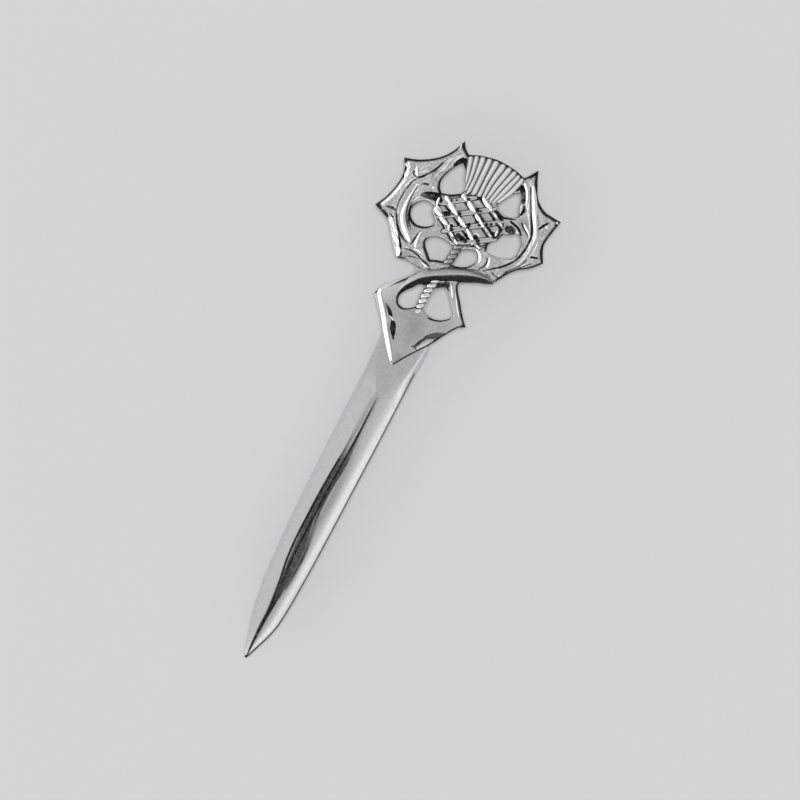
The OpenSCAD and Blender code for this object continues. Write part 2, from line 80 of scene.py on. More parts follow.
HEAD = [
    (-8.0, 72.3, 1), (-9.25, 73.75, 0), (-10.75, 75.6, 0), (-12.0, 77.2, 0), (-13.7, 78.1, 0),
    (-15.25, 78.65, 1), (-14.1, 81.1, 0), (-13.4, 84.1, 0), (-13.6, 86.4, 0), (-14.5, 88.0, 1),
    (-12.0, 88.9, 0), (-9.3, 90.65, 0), (-7.6, 92.7, 0), (-6.53, 95.2, 1), (-5.9, 94.2, 0), (-4.9, 93.4, 1),
    (-3.0, 94.2, 0), (0.0, 94.85, 0), (3.0, 94.7, 0), (5.3, 94.15, 1), (5.95, 94.95, 0), (6.85, 96.4, 1),
    (7.9, 94.0, 0), (9.1, 92.0, 0), (10.9, 90.7, 0), (12.7, 90.4, 0), (14.25, 90.3, 1), (13.75, 88.0, 0),
    (13.5, 85.3, 0), (14.75, 82.65, 1), (13.1, 80.9, 0), (11.4, 79.7, 0), (10.2, 78.3, 0), (8.9, 76.2, 1),
    (8.0, 75.6, 1), (5.0, 74.6, 0), (3.0, 73.6, 1), (-1.0, 72.2, 1), (-4.3, 72.6, 1), (-6.3, 72.7, 0),
]
HEAD_OPENINGS = [
    [(-5.15, 91.8, 1), (-6.0, 90.7, 0), (-6.7, 89.2, 0), (-7.1, 87.7, 0), (-6.9, 86.5, 0), (-6.1, 85.5, 1),
     (-4.6, 86.0, 0), (-3.0, 87.0, 1), (-2.65, 87.9, 0), (-3.0, 89.0, 0), (-3.7, 90.2, 0), (-4.4, 91.1, 0)],
    [(-6.2, 83.1, 1), (-7.9, 83.2, 0), (-9.0, 82.2, 0), (-9.45, 80.9, 0), (-8.9, 79.6, 0), (-7.6, 78.85, 0),
     (-6.1, 79.1, 0), (-5.1, 79.8, 0), (-4.75, 80.6, 0), (-5.4, 81.4, 0), (-6.15, 82.1, 0)],
    [(-4.8, 77.1, 0), (-4.5, 77.9, 0), (-3.5, 78.6, 0), (-2.0, 78.8, 0), (-0.6, 78.5, 0), (0.6, 78.4, 0),
     (1.5, 78.6, 0), (2.3, 79.0, 0), (3.1, 79.35, 0), (3.9, 79.2, 0), (4.5, 78.3, 0), (4.4, 77.5, 0),
     (3.6, 76.4, 0), (2.6, 75.8, 0), (1.6, 75.5, 0), (0.5, 75.4, 0), (-0.5, 75.3, 0), (-1.8, 74.9, 0),
     (-2.7, 74.6, 0), (-3.5, 75.3, 0), (-4.4, 76.2, 0)],
    [(6.0, 82.7, 1), (5.2, 81.9, 0), (4.95, 81.1, 0), (5.2, 80.3, 0), (5.8, 79.95, 0), (7.0, 80.0, 0),
     (8.5, 80.4, 0), (9.7, 81.1, 0), (10.15, 82.3, 0), (10.0, 83.8, 0), (9.5, 84.8, 0), (8.7, 85.3, 0),
     (8.1, 85.1, 1), (7.6, 84.5, 0), (6.6, 84.2, 0), (6.3, 83.6, 0)],
    [(6.0, 91.8, 1), (5.0, 91.1, 0), (4.4, 90.5, 0), (3.7, 89.5, 0), (3.35, 88.2, 0), (4.0, 87.4, 0),
     (5.3, 87.0, 0), (6.7, 87.3, 0), (7.5, 88.1, 1), (6.95, 89.0, 0), (6.6, 90.4, 0)],
]
BULB = [
    (-6.0, 84.8, 1), (-5.95, 82.7, 0), (-5.15, 81.65, 0), (-3.9, 80.55, 0), (-3.0, 79.6, 0),
    (-1.9, 79.1, 0), (-0.5, 78.9, 0), (0.9, 79.1, 0), (2.4, 79.6, 0), (3.6, 80.1, 0), (4.5, 80.8, 0),
    (5.0, 82.1, 0), (5.75, 82.9, 0), (6.0, 84.0, 0), (6.0, 85.2, 0), (5.0, 86.4, 0), (3.2, 87.2, 0),
    (0.6, 87.9, 0), (-1.3, 87.5, 0), (-2.9, 86.8, 0), (-4.5, 85.8, 0),
]

# Lines cut into a plate: rows of x, y, width and depth
HILT_CUTS = [
    # The left recess in two lobes, and the right one with the thin lines under it
    [(-6.1, 64.6, 0.15, 0.1), (-5.4, 64.1, 0.4, 0.35), (-4.7, 63.5, 0.6, 0.42), (-4.2, 62.9, 0.5, 0.4),
     (-3.9, 62.6, 0.2, 0.2)],
    [(-3.85, 62.7, 0.2, 0.2), (-3.5, 62.2, 0.7, 0.42), (-3.15, 61.6, 0.95, 0.42), (-2.75, 60.8, 0.8, 0.42),
     (-2.4, 60.2, 0.45, 0.42), (-2.1, 59.6, 0.1, 0.3)],
    [(6.1, 64.8, 0.3, 0.25), (5.1, 64.15, 0.8, 0.34), (4.2, 63.55, 1.2, 0.34), (3.4, 63.0, 0.9, 0.33),
     (2.75, 62.4, 0.5, 0.34), (2.3, 61.5, 0.42, 0.36), (1.9, 60.7, 0.45, 0.36), (1.6, 60.0, 0.15, 0.2)],
    [(5.6, 64.5, 0.4, 0.35), (5.0, 63.6, 0.7, 0.42), (4.4, 62.7, 0.6, 0.42), (4.1, 62.0, 0.35, 0.35)],
    [(1.3, 60.0, 0.2, 0.2), (1.7, 60.15, 0.4, 0.35), (2.1, 59.9, 0.2, 0.2)],
    # Sunken ground between the ribbon and the opening, up to the stem's top, dark with painted shade
    [(-4.75, 66.2, 0.3, 0.25), (-4.65, 67.3, 0.55, 0.35), (-3.8, 68.6, 0.7, 0.4), (-2.9, 69.8, 0.8, 0.42),
     (-1.6, 70.7, 1.0, 0.42), (0.0, 71.0, 1.1, 0.42), (1.0, 71.5, 1.0, 0.42), (1.9, 72.1, 0.8, 0.4),
     (2.5, 72.4, 0.3, 0.3)],
    [(1.4, 72.4, 0.3, 0.35), (2.0, 71.8, 0.4, 0.42), (2.5, 71.3, 0.25, 0.3)],
    [(4.3, 71.0, 0.2, 0.06), (5.2, 69.6, 0.28, 0.1), (6.1, 68.3, 0.28, 0.1), (6.8, 67.5, 0.2, 0.06)],
]
# Painted shade down the hilt: rows of x, y, width and the rise in darkening
HILT_SHADES = [
    [(-1.0, 65.8, 4.0, 0.02), (-0.3, 64.2, 6.0, 0.12), (0.3, 62.0, 4.5, 0.12), (0.2, 59.5, 2.0, 0.02)],
]
# Patches of painted highlight and painted shade: x, y, radius and the change in darkening
HILT_PATCHES = [
    (-7.1, 66.4, 2.8, -0.26), (-5.6, 68.8, 2.4, -0.2), (6.4, 67.4, 2.2, -0.12), (5.2, 69.4, 2.2, -0.16),
    (0.0, 57.2, 1.3, 0.16),
]
LEAF_PATCHES = [
    (9.0, 86.9, 1.5, 0.24), (12.6, 87.2, 1.4, 0.14), (6.4, 89.0, 1.4, -0.16), (-6.3, 93.0, 1.5, 0.08),
    (8.4, 82.9, 1.4, -0.1),
]
LEFT_LEAF_CUTS = [
    [(-10.5, 86.2, 0.25, 0.12), (-11.3, 85.2, 0.4, 0.22), (-11.6, 84.0, 0.42, 0.22),
     (-11.8, 82.5, 0.42, 0.22), (-11.8, 80.6, 0.42, 0.22), (-11.4, 79.1, 0.42, 0.22),
     (-10.7, 77.9, 0.5, 0.3), (-10.0, 76.9, 0.55, 0.36), (-9.1, 76.1, 0.55, 0.33), (-8.2, 75.6, 0.45, 0.28),
     (-7.3, 75.3, 0.3, 0.18)],
    [(-7.0, 91.0, 0.2, 0.1), (-7.6, 89.4, 0.28, 0.15), (-7.9, 87.8, 0.28, 0.15), (-7.9, 86.6, 0.15, 0.08)],
    [(-7.4, 91.9, 0.2, 0.1), (-8.2, 90.5, 0.26, 0.14), (-8.5, 89.0, 0.26, 0.14), (-8.7, 87.5, 0.26, 0.12),
     (-8.8, 86.6, 0.15, 0.08)],
    [(-12.0, 86.9, 0.3, 0.15), (-11.8, 86.3, 0.4, 0.3), (-11.1, 86.0, 0.35, 0.2), (-10.5, 86.3, 0.5, 0.38),
     (-9.6, 87.4, 0.45, 0.3), (-8.8, 88.6, 0.5, 0.32), (-8.3, 89.9, 0.4, 0.3), (-7.8, 91.2, 0.25, 0.12)],
    [(-13.5, 79.3, 0.4, 0.2), (-12.7, 79.5, 0.8, 0.33), (-11.9, 79.5, 0.8, 0.3), (-11.3, 79.2, 0.4, 0.15)],
    [(-9.8, 85.3, 0.3, 0.15), (-9.2, 85.7, 0.55, 0.3), (-8.5, 85.8, 0.4, 0.2)],
    [(-9.95, 82.6, 0.2, 0.15), (-9.75, 81.2, 0.3, 0.25), (-9.5, 80.0, 0.32, 0.27), (-8.9, 78.8, 0.32, 0.27),
     (-8.15, 77.95, 0.28, 0.22), (-7.6, 77.4, 0.2, 0.12)],
    [(-12.5, 78.45, 0.25, 0.2), (-11.7, 78.2, 0.35, 0.35), (-10.9, 77.4, 0.3, 0.25),
     (-10.2, 76.5, 0.25, 0.15)],
    [(-6.35, 78.1, 0.25, 0.2), (-6.55, 77.0, 0.4, 0.35), (-6.7, 75.9, 0.4, 0.3), (-6.8, 75.2, 0.25, 0.15)],
    [(-9.6, 76.2, 0.2, 0.2), (-8.9, 75.3, 0.35, 0.5), (-8.2, 74.3, 0.4, 0.6), (-7.85, 73.9, 0.2, 0.3)],
    [(-11.4, 76.35, 0.25, 0.15), (-11.1, 76.1, 0.3, 0.2), (-10.8, 75.8, 0.25, 0.12)],
    [(-9.65, 74.7, 0.3, 0.2), (-9.35, 74.3, 0.4, 0.35), (-9.05, 73.85, 0.3, 0.2)],
    [(-7.75, 73.6, 0.25, 0.4), (-7.5, 73.1, 0.35, 0.5), (-7.4, 72.8, 0.2, 0.3)],
    [(-7.3, 74.3, 0.3, 0.2), (-6.2, 74.5, 0.5, 0.28), (-5.0, 74.3, 0.5, 0.28), (-3.9, 73.9, 0.4, 0.3),
     (-2.9, 73.6, 0.45, 0.38), (-2.1, 73.3, 0.3, 0.2)],
    [(-6.9, 73.0, 0.25, 0.15), (-5.8, 73.6, 0.35, 0.22), (-4.6, 73.8, 0.35, 0.2)],
]
LEFT_LEAF_WELLS = [
    [(-9.2, 83.7, 0.4, 0.25), (-8.3, 84.0, 0.95, 0.38), (-7.2, 84.35, 1.35, 0.4), (-6.2, 84.5, 1.4, 0.45)],
    [(-9.0, 83.95, 0.2, 0.3), (-8.2, 84.45, 0.4, 0.5), (-7.2, 84.85, 0.45, 0.55), (-6.3, 85.1, 0.4, 0.5)],
    [(-6.1, 90.9, 0.7, 0.6), (-5.5, 91.8, 1.1, 0.85), (-5.0, 92.2, 0.9, 0.85), (-4.5, 91.6, 1.0, 0.85),
     (-4.1, 90.9, 0.8, 0.7)],
]
RIGHT_LEAF_CUTS = [
    [(5.1, 81.75, 0.25, 0.2), (5.4, 81.35, 0.3, 0.35), (5.65, 80.9, 0.2, 0.2)],
    [(6.9, 93.3, 0.3, 0.2), (7.7, 92.1, 0.45, 0.35), (8.5, 90.6, 0.5, 0.4), (9.4, 88.9, 0.5, 0.4),
     (10.3, 87.3, 0.5, 0.4), (10.9, 85.7, 0.5, 0.36), (11.0, 84.2, 0.5, 0.32), (10.8, 82.5, 0.5, 0.32),
     (10.35, 81.1, 0.48, 0.32), (9.5, 79.8, 0.45, 0.3), (8.5, 78.8, 0.45, 0.3), (7.4, 77.9, 0.4, 0.28),
     (6.3, 76.9, 0.3, 0.2)],
    [(8.4, 87.1, 0.3, 0.25), (9.2, 86.5, 0.4, 0.3), (10.0, 85.9, 0.35, 0.25), (10.5, 85.3, 0.25, 0.15)],
    [(3.5, 87.1, 0.3, 0.25), (4.3, 86.7, 0.4, 0.4), (5.15, 86.5, 0.42, 0.42), (6.0, 86.8, 0.4, 0.35),
     (6.9, 87.05, 0.3, 0.2), (7.6, 87.5, 0.25, 0.12)],
    [(6.6, 86.5, 0.35, 0.5), (7.5, 86.3, 0.4, 0.6), (8.4, 86.0, 0.4, 0.55), (9.2, 85.3, 0.35, 0.4)],
    [(12.5, 89.3, 0.25, 0.25), (12.0, 88.6, 0.45, 0.45), (11.5, 87.7, 0.4, 0.35), (11.3, 87.3, 0.2, 0.15)],
    [(13.4, 83.0, 0.35, 0.4), (12.8, 82.85, 0.4, 0.45), (12.1, 82.6, 0.4, 0.45)],
    [(5.9, 79.1, 0.3, 0.25), (6.1, 78.4, 0.35, 0.3), (5.95, 77.6, 0.4, 0.3), (5.4, 76.9, 0.3, 0.2)],
    [(11.9, 81.9, 0.3, 0.3), (11.6, 81.0, 0.25, 0.2), (10.9, 79.9, 0.3, 0.2), (10.0, 78.8, 0.3, 0.2),
     (9.3, 77.7, 0.25, 0.15)],
    [(12.9, 81.7, 0.25, 0.2), (12.0, 80.7, 0.3, 0.2), (11.1, 79.7, 0.3, 0.2), (10.3, 78.9, 0.2, 0.1)],
    [(9.8, 77.8, 0.25, 0.2), (9.2, 77.1, 0.3, 0.2), (8.0, 77.2, 0.3, 0.2), (7.4, 77.5, 0.2, 0.1)],
    [(11.45, 84.3, 0.2, 0.12), (11.5, 83.4, 0.25, 0.2), (11.6, 82.8, 0.2, 0.15)],
    [(6.9, 76.4, 0.25, 0.2), (7.6, 76.35, 0.3, 0.25), (8.4, 76.0, 0.2, 0.15)],
]
RIGHT_LEAF_WELLS = [
    [(5.0, 91.7, 0.4, 0.5), (5.5, 92.5, 0.85, 0.6), (6.1, 92.2, 1.0, 0.45), (6.75, 91.1, 0.85, 0.42),
     (7.05, 90.4, 0.5, 0.4)],
    [(7.5, 89.8, 0.4, 0.4), (7.75, 89.2, 0.5, 0.5), (7.6, 88.3, 0.4, 0.4)],
]
# Stretches of the openings' edges, then of the outlines, kept free of the painted dark so that they show
# bright highlights: x, y and radius
HIGHLIGHT_EDGES = [
    (5.2, 86.9, 2.6), (8.7, 80.2, 2.6), (9.9, 81.6, 1.6), (0.6, 66.3, 1.3), (5.2, 68.2, 1.2),
    (3.6, 70.2, 1.8), (-2.0, 78.8, 2.2), (6.1, 79.7, 1.3),
]
HIGHLIGHT_OUTLINE = [(-3.9, 72.5, 1.4), (-4.2, 71.2, 1.0)]
# Stretches of the outlines with the widest painted dark reflection
BLACK_EDGES = [
    (-14.3, 87.7, 0.9), (-13.7, 86.3, 0.8), (-13.5, 84.9, 0.8), (-14.7, 78.4, 1.2), (-13.2, 77.9, 1.2),
    (-5.9, 94.3, 1.6), (7.5, 94.8, 2.0), (8.6, 92.8, 1.6), (10.9, 90.7, 2.2), (13.3, 90.3, 1.6),
    (14.0, 84.0, 1.6), (7.6, 67.3, 1.0),
]
# Swells of a plate's face: rows of x, y, width and height
LEAF_SWELLS = [
    [(-8.2, 73.6, 1.6, 0.2), (-10.2, 76.6, 3.0, 0.35), (-11.2, 79.5, 3.4, 0.4), (-11.1, 83.0, 3.2, 0.4),
     (-10.3, 86.5, 3.4, 0.4), (-8.8, 89.5, 3.0, 0.35), (-7.0, 93.0, 2.0, 0.25)],
    [(7.0, 93.8, 1.6, 0.25), (9.0, 90.5, 3.0, 0.35), (11.0, 87.5, 3.4, 0.4), (11.9, 84.5, 3.2, 0.4),
     (11.2, 81.5, 3.2, 0.4), (9.5, 79.0, 3.0, 0.3), (7.5, 77.2, 2.6, 0.25)],
]
# Raised ribs: rows of x, y, width and height
HILT_RIMS = [
    [(-5.2, 69.7, 0.25, 0.12), (-6.4, 68.2, 0.35, 0.2), (-7.45, 66.9, 0.6, 0.35), (-7.75, 65.8, 1.0, 0.5),
     (-7.15, 64.85, 1.0, 0.48), (-6.3, 63.8, 1.05, 0.5), (-5.0, 62.15, 1.1, 0.52), (-3.8, 60.4, 1.1, 0.52),
     (-2.3, 58.4, 1.05, 0.5), (-1.25, 57.0, 0.85, 0.42), (-0.75, 56.2, 0.5, 0.3)],
    [(-4.5, 62.9, 0.3, 0.25), (-3.95, 62.7, 0.5, 0.45), (-3.5, 62.5, 0.25, 0.2)],
    [(3.6, 62.1, 0.25, 0.2), (3.2, 61.4, 0.45, 0.3), (2.6, 60.6, 0.4, 0.3), (2.1, 59.9, 0.2, 0.15)],
    [(2.2, 72.6, 0.25, 0.2), (2.75, 71.9, 0.45, 0.35), (3.3, 71.1, 0.4, 0.3), (3.7, 70.4, 0.2, 0.1)],
    [(3.7, 71.5, 0.2, 0.08), (4.7, 70.0, 0.3, 0.13), (5.8, 68.5, 0.3, 0.13), (6.5, 67.6, 0.2, 0.06)],
]
LEFT_LEAF_RIBS = [
    [(-7.1, 75.8, 0.6, 0.6), (-8.15, 76.7, 1.2, 1.0), (-9.3, 77.75, 1.45, 1.15), (-10.15, 79.0, 1.35, 1.1),
     (-10.5, 80.5, 1.0, 0.95), (-10.6, 82.2, 0.7, 0.75), (-10.45, 84.2, 0.5, 0.55),
     (-10.35, 85.1, 0.35, 0.35)],
    [(-12.0, 87.95, 0.35, 0.2), (-11.6, 87.2, 0.55, 0.5), (-11.1, 86.45, 0.55, 0.5),
     (-10.9, 86.3, 0.3, 0.25)],
    [(-10.6, 87.3, 0.2, 0.15), (-10.3, 87.5, 0.35, 0.3), (-9.9, 88.0, 0.2, 0.12)],
    [(-9.4, 84.0, 0.2, 0.15), (-9.2, 83.4, 0.45, 0.35), (-9.7, 82.6, 0.35, 0.3), (-10.0, 81.8, 0.2, 0.15)],
    [(-6.15, 78.0, 0.35, 0.3), (-6.15, 77.1, 0.6, 0.6), (-6.05, 76.0, 0.75, 0.7), (-5.8, 75.2, 0.35, 0.35)],
    [(-7.95, 85.7, 0.25, 0.25), (-7.65, 85.75, 0.45, 0.5), (-7.35, 85.8, 0.2, 0.2)],
    [(-10.75, 84.9, 0.25, 0.2), (-10.35, 85.0, 0.5, 0.45), (-9.95, 85.15, 0.2, 0.2)],
    [(-6.0, 74.95, 0.25, 0.2), (-5.1, 75.0, 0.4, 0.4), (-4.3, 74.7, 0.3, 0.25)],
    [(-3.8, 73.5, 0.25, 0.2), (-3.0, 73.3, 0.45, 0.4), (-2.3, 73.1, 0.5, 0.45), (-1.9, 73.4, 0.25, 0.2)],
    [(-7.2, 91.6, 0.2, 0.1), (-7.4, 90.4, 0.35, 0.25), (-7.7, 89.2, 0.35, 0.25), (-8.2, 88.3, 0.2, 0.1)],
    [(-5.6, 93.2, 0.2, 0.12), (-6.0, 92.6, 0.4, 0.3), (-6.5, 91.6, 0.35, 0.25), (-6.9, 90.4, 0.2, 0.1)],
    [(-6.75, 94.4, 0.2, 0.15), (-6.7, 93.7, 0.35, 0.3), (-6.9, 93.0, 0.2, 0.1)],
]
RIGHT_LEAF_RIBS = [
    [(7.3, 93.6, 0.35, 0.35), (8.05, 92.35, 0.75, 0.75), (9.0, 90.7, 0.9, 0.85), (9.95, 89.1, 0.95, 0.9),
     (10.85, 87.6, 0.85, 0.8), (11.5, 86.2, 0.7, 0.65), (11.7, 84.9, 0.35, 0.3), (11.7, 83.6, 0.3, 0.25),
     (11.5, 82.2, 0.35, 0.3), (11.05, 80.9, 0.3, 0.25), (10.4, 79.6, 0.2, 0.12)],
    [(11.3, 85.3, 0.15, 0.1), (11.35, 84.2, 0.25, 0.25), (11.3, 83.1, 0.25, 0.25), (11.1, 82.0, 0.15, 0.1)],
    [(12.15, 85.9, 0.2, 0.2), (12.4, 84.6, 0.35, 0.35), (12.3, 83.3, 0.3, 0.3), (12.0, 82.3, 0.2, 0.2)],
    [(3.5, 79.75, 0.3, 0.3), (4.3, 79.4, 0.55, 0.55), (4.95, 78.5, 0.6, 0.6), (4.95, 77.7, 0.3, 0.3)],
    [(7.1, 76.75, 0.2, 0.2), (7.8, 76.5, 0.35, 0.35), (8.5, 76.1, 0.2, 0.2)],
    [(5.3, 93.8, 0.35, 0.35), (6.0, 93.2, 0.5, 0.5), (6.7, 92.5, 0.5, 0.5), (7.3, 91.4, 0.5, 0.5),
     (7.7, 90.4, 0.4, 0.4), (8.0, 89.6, 0.2, 0.15)],
    [(8.8, 87.2, 0.25, 0.2), (9.5, 86.7, 0.5, 0.5), (10.2, 86.2, 0.4, 0.4), (10.5, 85.8, 0.2, 0.15)],
    [(6.2, 79.4, 0.35, 0.35), (6.5, 78.8, 0.6, 0.65), (6.6, 78.1, 0.55, 0.6), (6.5, 77.6, 0.25, 0.25)],
    [(5.3, 79.3, 0.2, 0.2), (5.45, 78.5, 0.4, 0.4), (5.3, 77.7, 0.3, 0.3), (5.0, 77.1, 0.15, 0.15)],
    [(6.9, 77.2, 0.3, 0.25), (7.6, 76.95, 0.5, 0.5), (8.4, 76.5, 0.45, 0.45), (8.8, 76.3, 0.2, 0.2)],
    [(11.45, 84.9, 0.2, 0.2), (11.5, 84.2, 0.4, 0.4), (11.5, 83.5, 0.25, 0.2)],
    [(12.7, 84.6, 0.2, 0.1), (12.7, 83.8, 0.3, 0.25), (12.6, 83.2, 0.2, 0.1)],
    [(12.2, 88.6, 0.2, 0.2), (12.45, 88.5, 0.45, 0.4), (12.7, 88.3, 0.2, 0.2)],
    [(13.5, 89.95, 0.2, 0.15), (13.75, 89.9, 0.4, 0.3), (13.9, 89.7, 0.2, 0.15)],
    [(6.2, 86.4, 0.25, 0.2), (7.0, 86.0, 0.35, 0.35), (8.0, 85.6, 0.3, 0.3), (8.7, 85.2, 0.2, 0.15)],
]
# The ribbon's ridge: x, y, width of the band on each side of it and its height above the casting's back
RIBBON = [
    (-5.0, 66.6, 0.15, 0.3, 2.05), (-4.9, 67.6, 0.35, 0.6, 2.2), (-4.4, 68.8, 0.7, 0.8, 2.5),
    (-3.6, 70.0, 1.0, 0.9, 2.9), (-2.6, 71.15, 1.15, 1.0, 3.15), (-1.2, 72.15, 1.2, 1.1, 3.2),
    (0.4, 73.1, 1.2, 1.15, 3.2), (2.2, 74.1, 1.2, 1.25, 3.2), (4.2, 75.05, 1.1, 1.25, 3.15),
    (6.2, 75.7, 0.85, 1.0, 2.95), (7.7, 75.95, 0.5, 0.75, 2.6), (8.7, 75.9, 0.15, 0.3, 2.1),
]
# The stem's middle line: x, y, diameter and painted shade
STEM = [
    (-0.5, 65.3, 1.35, 0.0), (-0.6, 67.4, 1.6, 0.0), (-0.6, 69.2, 1.7, 0.0), (-0.4, 71.2, 1.75, 0.1),
    (0.0, 73.2, 1.7, 0.3), (0.3, 75.4, 1.6, 0.5), (0.5, 77.2, 1.6, 0.54), (0.6, 79.2, 1.75, 0.58),
]
# The bulb's bars: both ends, width and height
FALLING_BARS = [
    (-0.9, 88.7, 6.0, 84.9, 0.6, 0.12), (-3.9, 87.6, 6.0, 81.9, 0.6, 0.14),
    (-6.6, 85.5, 4.8, 79.3, 0.6, 0.14), (-6.6, 83.35, 1.2, 78.1, 0.6, 0.12),
]
RISING_BARS = [
    (-5.6, 83.7, -0.4, 87.5, 0.8, 0.13), (-6.1, 80.7, 3.6, 87.4, 0.8, 0.13),
    (-3.6, 79.35, 6.1, 86.3, 0.8, 0.13), (0.2, 79.2, 6.1, 82.95, 0.8, 0.13),
]
# Drops cast over the bars: both ends and the width
DROPS = [
    (0.5, 88.0, 2.95, 86.6, 1.0), (3.2, 86.5, 4.3, 85.9, 0.6), (4.8, 85.65, 5.6, 85.05, 0.5),
    (-2.85, 86.95, -1.75, 86.2, 0.95), (-1.45, 86.3, 0.5, 85.1, 1.1), (0.7, 84.9, 2.0, 84.15, 0.85),
    (1.9, 84.2, 2.95, 83.5, 0.8), (3.05, 83.5, 4.0, 83.05, 0.5), (3.9, 83.05, 4.85, 82.65, 0.5),
    (-5.3, 85.3, -3.9, 84.6, 0.95), (-4.4, 84.8, -2.0, 83.25, 1.25), (-1.75, 83.15, 0.15, 82.1, 1.05),
    (0.45, 82.0, 2.35, 80.7, 0.95), (-6.05, 84.7, -5.85, 83.2, 0.6), (-5.95, 83.15, -4.7, 82.7, 0.75),
    (-6.1, 82.75, -4.2, 82.0, 1.1), (-4.5, 81.8, -2.75, 81.1, 0.95), (-2.5, 81.3, -2.1, 80.2, 0.6),
    (-1.85, 80.25, -0.95, 79.75, 0.65), (2.4, 80.7, 2.5, 79.95, 0.4), (3.1, 80.35, 4.0, 80.0, 0.5),
    (5.3, 84.3, 5.4, 83.1, 0.4), (-0.6, 79.5, 0.3, 78.9, 0.5),
]
DROP_RISE = 0.46
# Pits in the bulb's cells, painted black as shadow: x, y and radius
BULB_PITS = [
    (-4.05, 85.0, 0.5), (-3.2, 85.55, 0.3), (-1.75, 83.7, 0.55), (0.75, 85.55, 0.55), (1.3, 85.75, 0.35),
    (3.15, 84.1, 0.55), (5.7, 84.3, 0.5), (5.85, 83.6, 0.5), (5.8, 82.9, 0.5), (4.8, 83.3, 0.45),
    (-3.8, 82.6, 0.7), (-3.3, 82.8, 0.5), (-2.05, 81.3, 0.4), (-1.75, 80.7, 0.55), (0.55, 82.65, 0.5),
    (0.6, 82.2, 0.45), (-0.25, 80.3, 0.8), (0.5, 80.15, 0.8), (1.2, 80.05, 0.6), (2.45, 81.35, 0.7),
    (3.1, 81.0, 0.6), (4.2, 80.4, 0.5), (-5.5, 84.1, 0.4), (-5.6, 83.3, 0.35), (-1.5, 86.6, 0.45),
    (-1.1, 82.2, 0.4), (-0.5, 81.85, 0.35), (0.9, 81.0, 0.45), (1.5, 80.65, 0.4), (1.5, 83.8, 0.4),
    (2.1, 83.5, 0.4), (-3.4, 83.6, 0.4), (-2.8, 83.2, 0.4), (-4.9, 86.0, 0.4), (-3.6, 86.6, 0.4),
    (3.9, 85.6, 0.3), (3.85, 84.5, 0.45), (4.6, 85.0, 0.35),
]
# The tuft's grooves and sides: x at each of three heights, then the foot and top of each rib between them
GROOVE_HEIGHTS = (88.8, 91.2, 93.6)
TUFT_GROOVES = [
    (-3.3, -4.2, -5.0), (-3.0, -3.4, -4.0), (-2.45, -2.6, -3.0), (-1.7, -1.75, -1.85), (-0.65, -0.7, -0.75),
    (0.2, 0.2, 0.42), (0.95, 1.15, 1.6), (1.65, 2.15, 2.75), (2.4, 3.0, 3.75), (3.0, 3.95, 4.65),
    (3.55, 4.85, 5.5),
]
TUFT_ENDS = [
    (89.0, 93.3), (87.6, 93.8), (87.3, 94.15), (87.3, 94.4), (87.3, 94.55), (87.3, 94.6), (87.3, 94.55),
    (87.3, 94.4), (87.3, 94.15), (88.3, 93.95),
]
TUFT_SHAPE = [
    (0.0, 0.5), (0.05, 0.9), (0.12, 1.0), (0.5, 1.0), (0.9, 1.0), (0.95, 0.94), (0.98, 0.8), (1.0, 0.5),
]
# The boss beside the bulb: x, y, width and height
BOSS = (7.15, 85.2, 1.95, 1.45)
# Blade: y, left and right half widths, left and right ends of its flat crest, and the crest's height as a
# share from the edge's thickness to the ridge's
BLADE = [
    (0.0, 0.04, 0.26, 0.02, 0.10, 0.10), (0.9, 0.38, 0.65, 0.03, 0.10, 0.35),
    (2.45, 0.85, 1.23, 0.06, 0.12, 0.60), (4.6, 1.46, 2.0, 0.08, 0.15, 0.80),
    (7.0, 2.1, 2.62, 0.10, 0.20, 0.92), (10.0, 2.62, 2.96, 0.15, 0.25, 1.0),
    (14.0, 3.04, 3.16, 0.25, 0.30, 1.0), (19.0, 3.39, 3.35, 0.35, 0.30, 1.0),
    (26.0, 3.66, 3.5, 0.40, 0.25, 1.0), (34.0, 3.77, 3.62, 0.35, 0.20, 1.0),
    (39.0, 3.83, 3.7, 0.30, 0.15, 0.98), (44.0, 3.85, 3.77, 0.15, 0.15, 0.95),
    (49.4, 3.85, 3.81, 0.35, 0.35, 0.88), (52.2, 3.85, 3.83, 1.6, 1.3, 0.82),
    (54.5, 3.85, 3.85, 2.7, 2.2, 0.74), (57.5, 4.0, 3.92, 3.6, 3.0, 0.55), (61.0, 4.15, 4.0, 3.8, 3.5, 0.5),
]
EDGE_T, RIDGE_T, SLOPE = 0.9, 2.2, 0.33
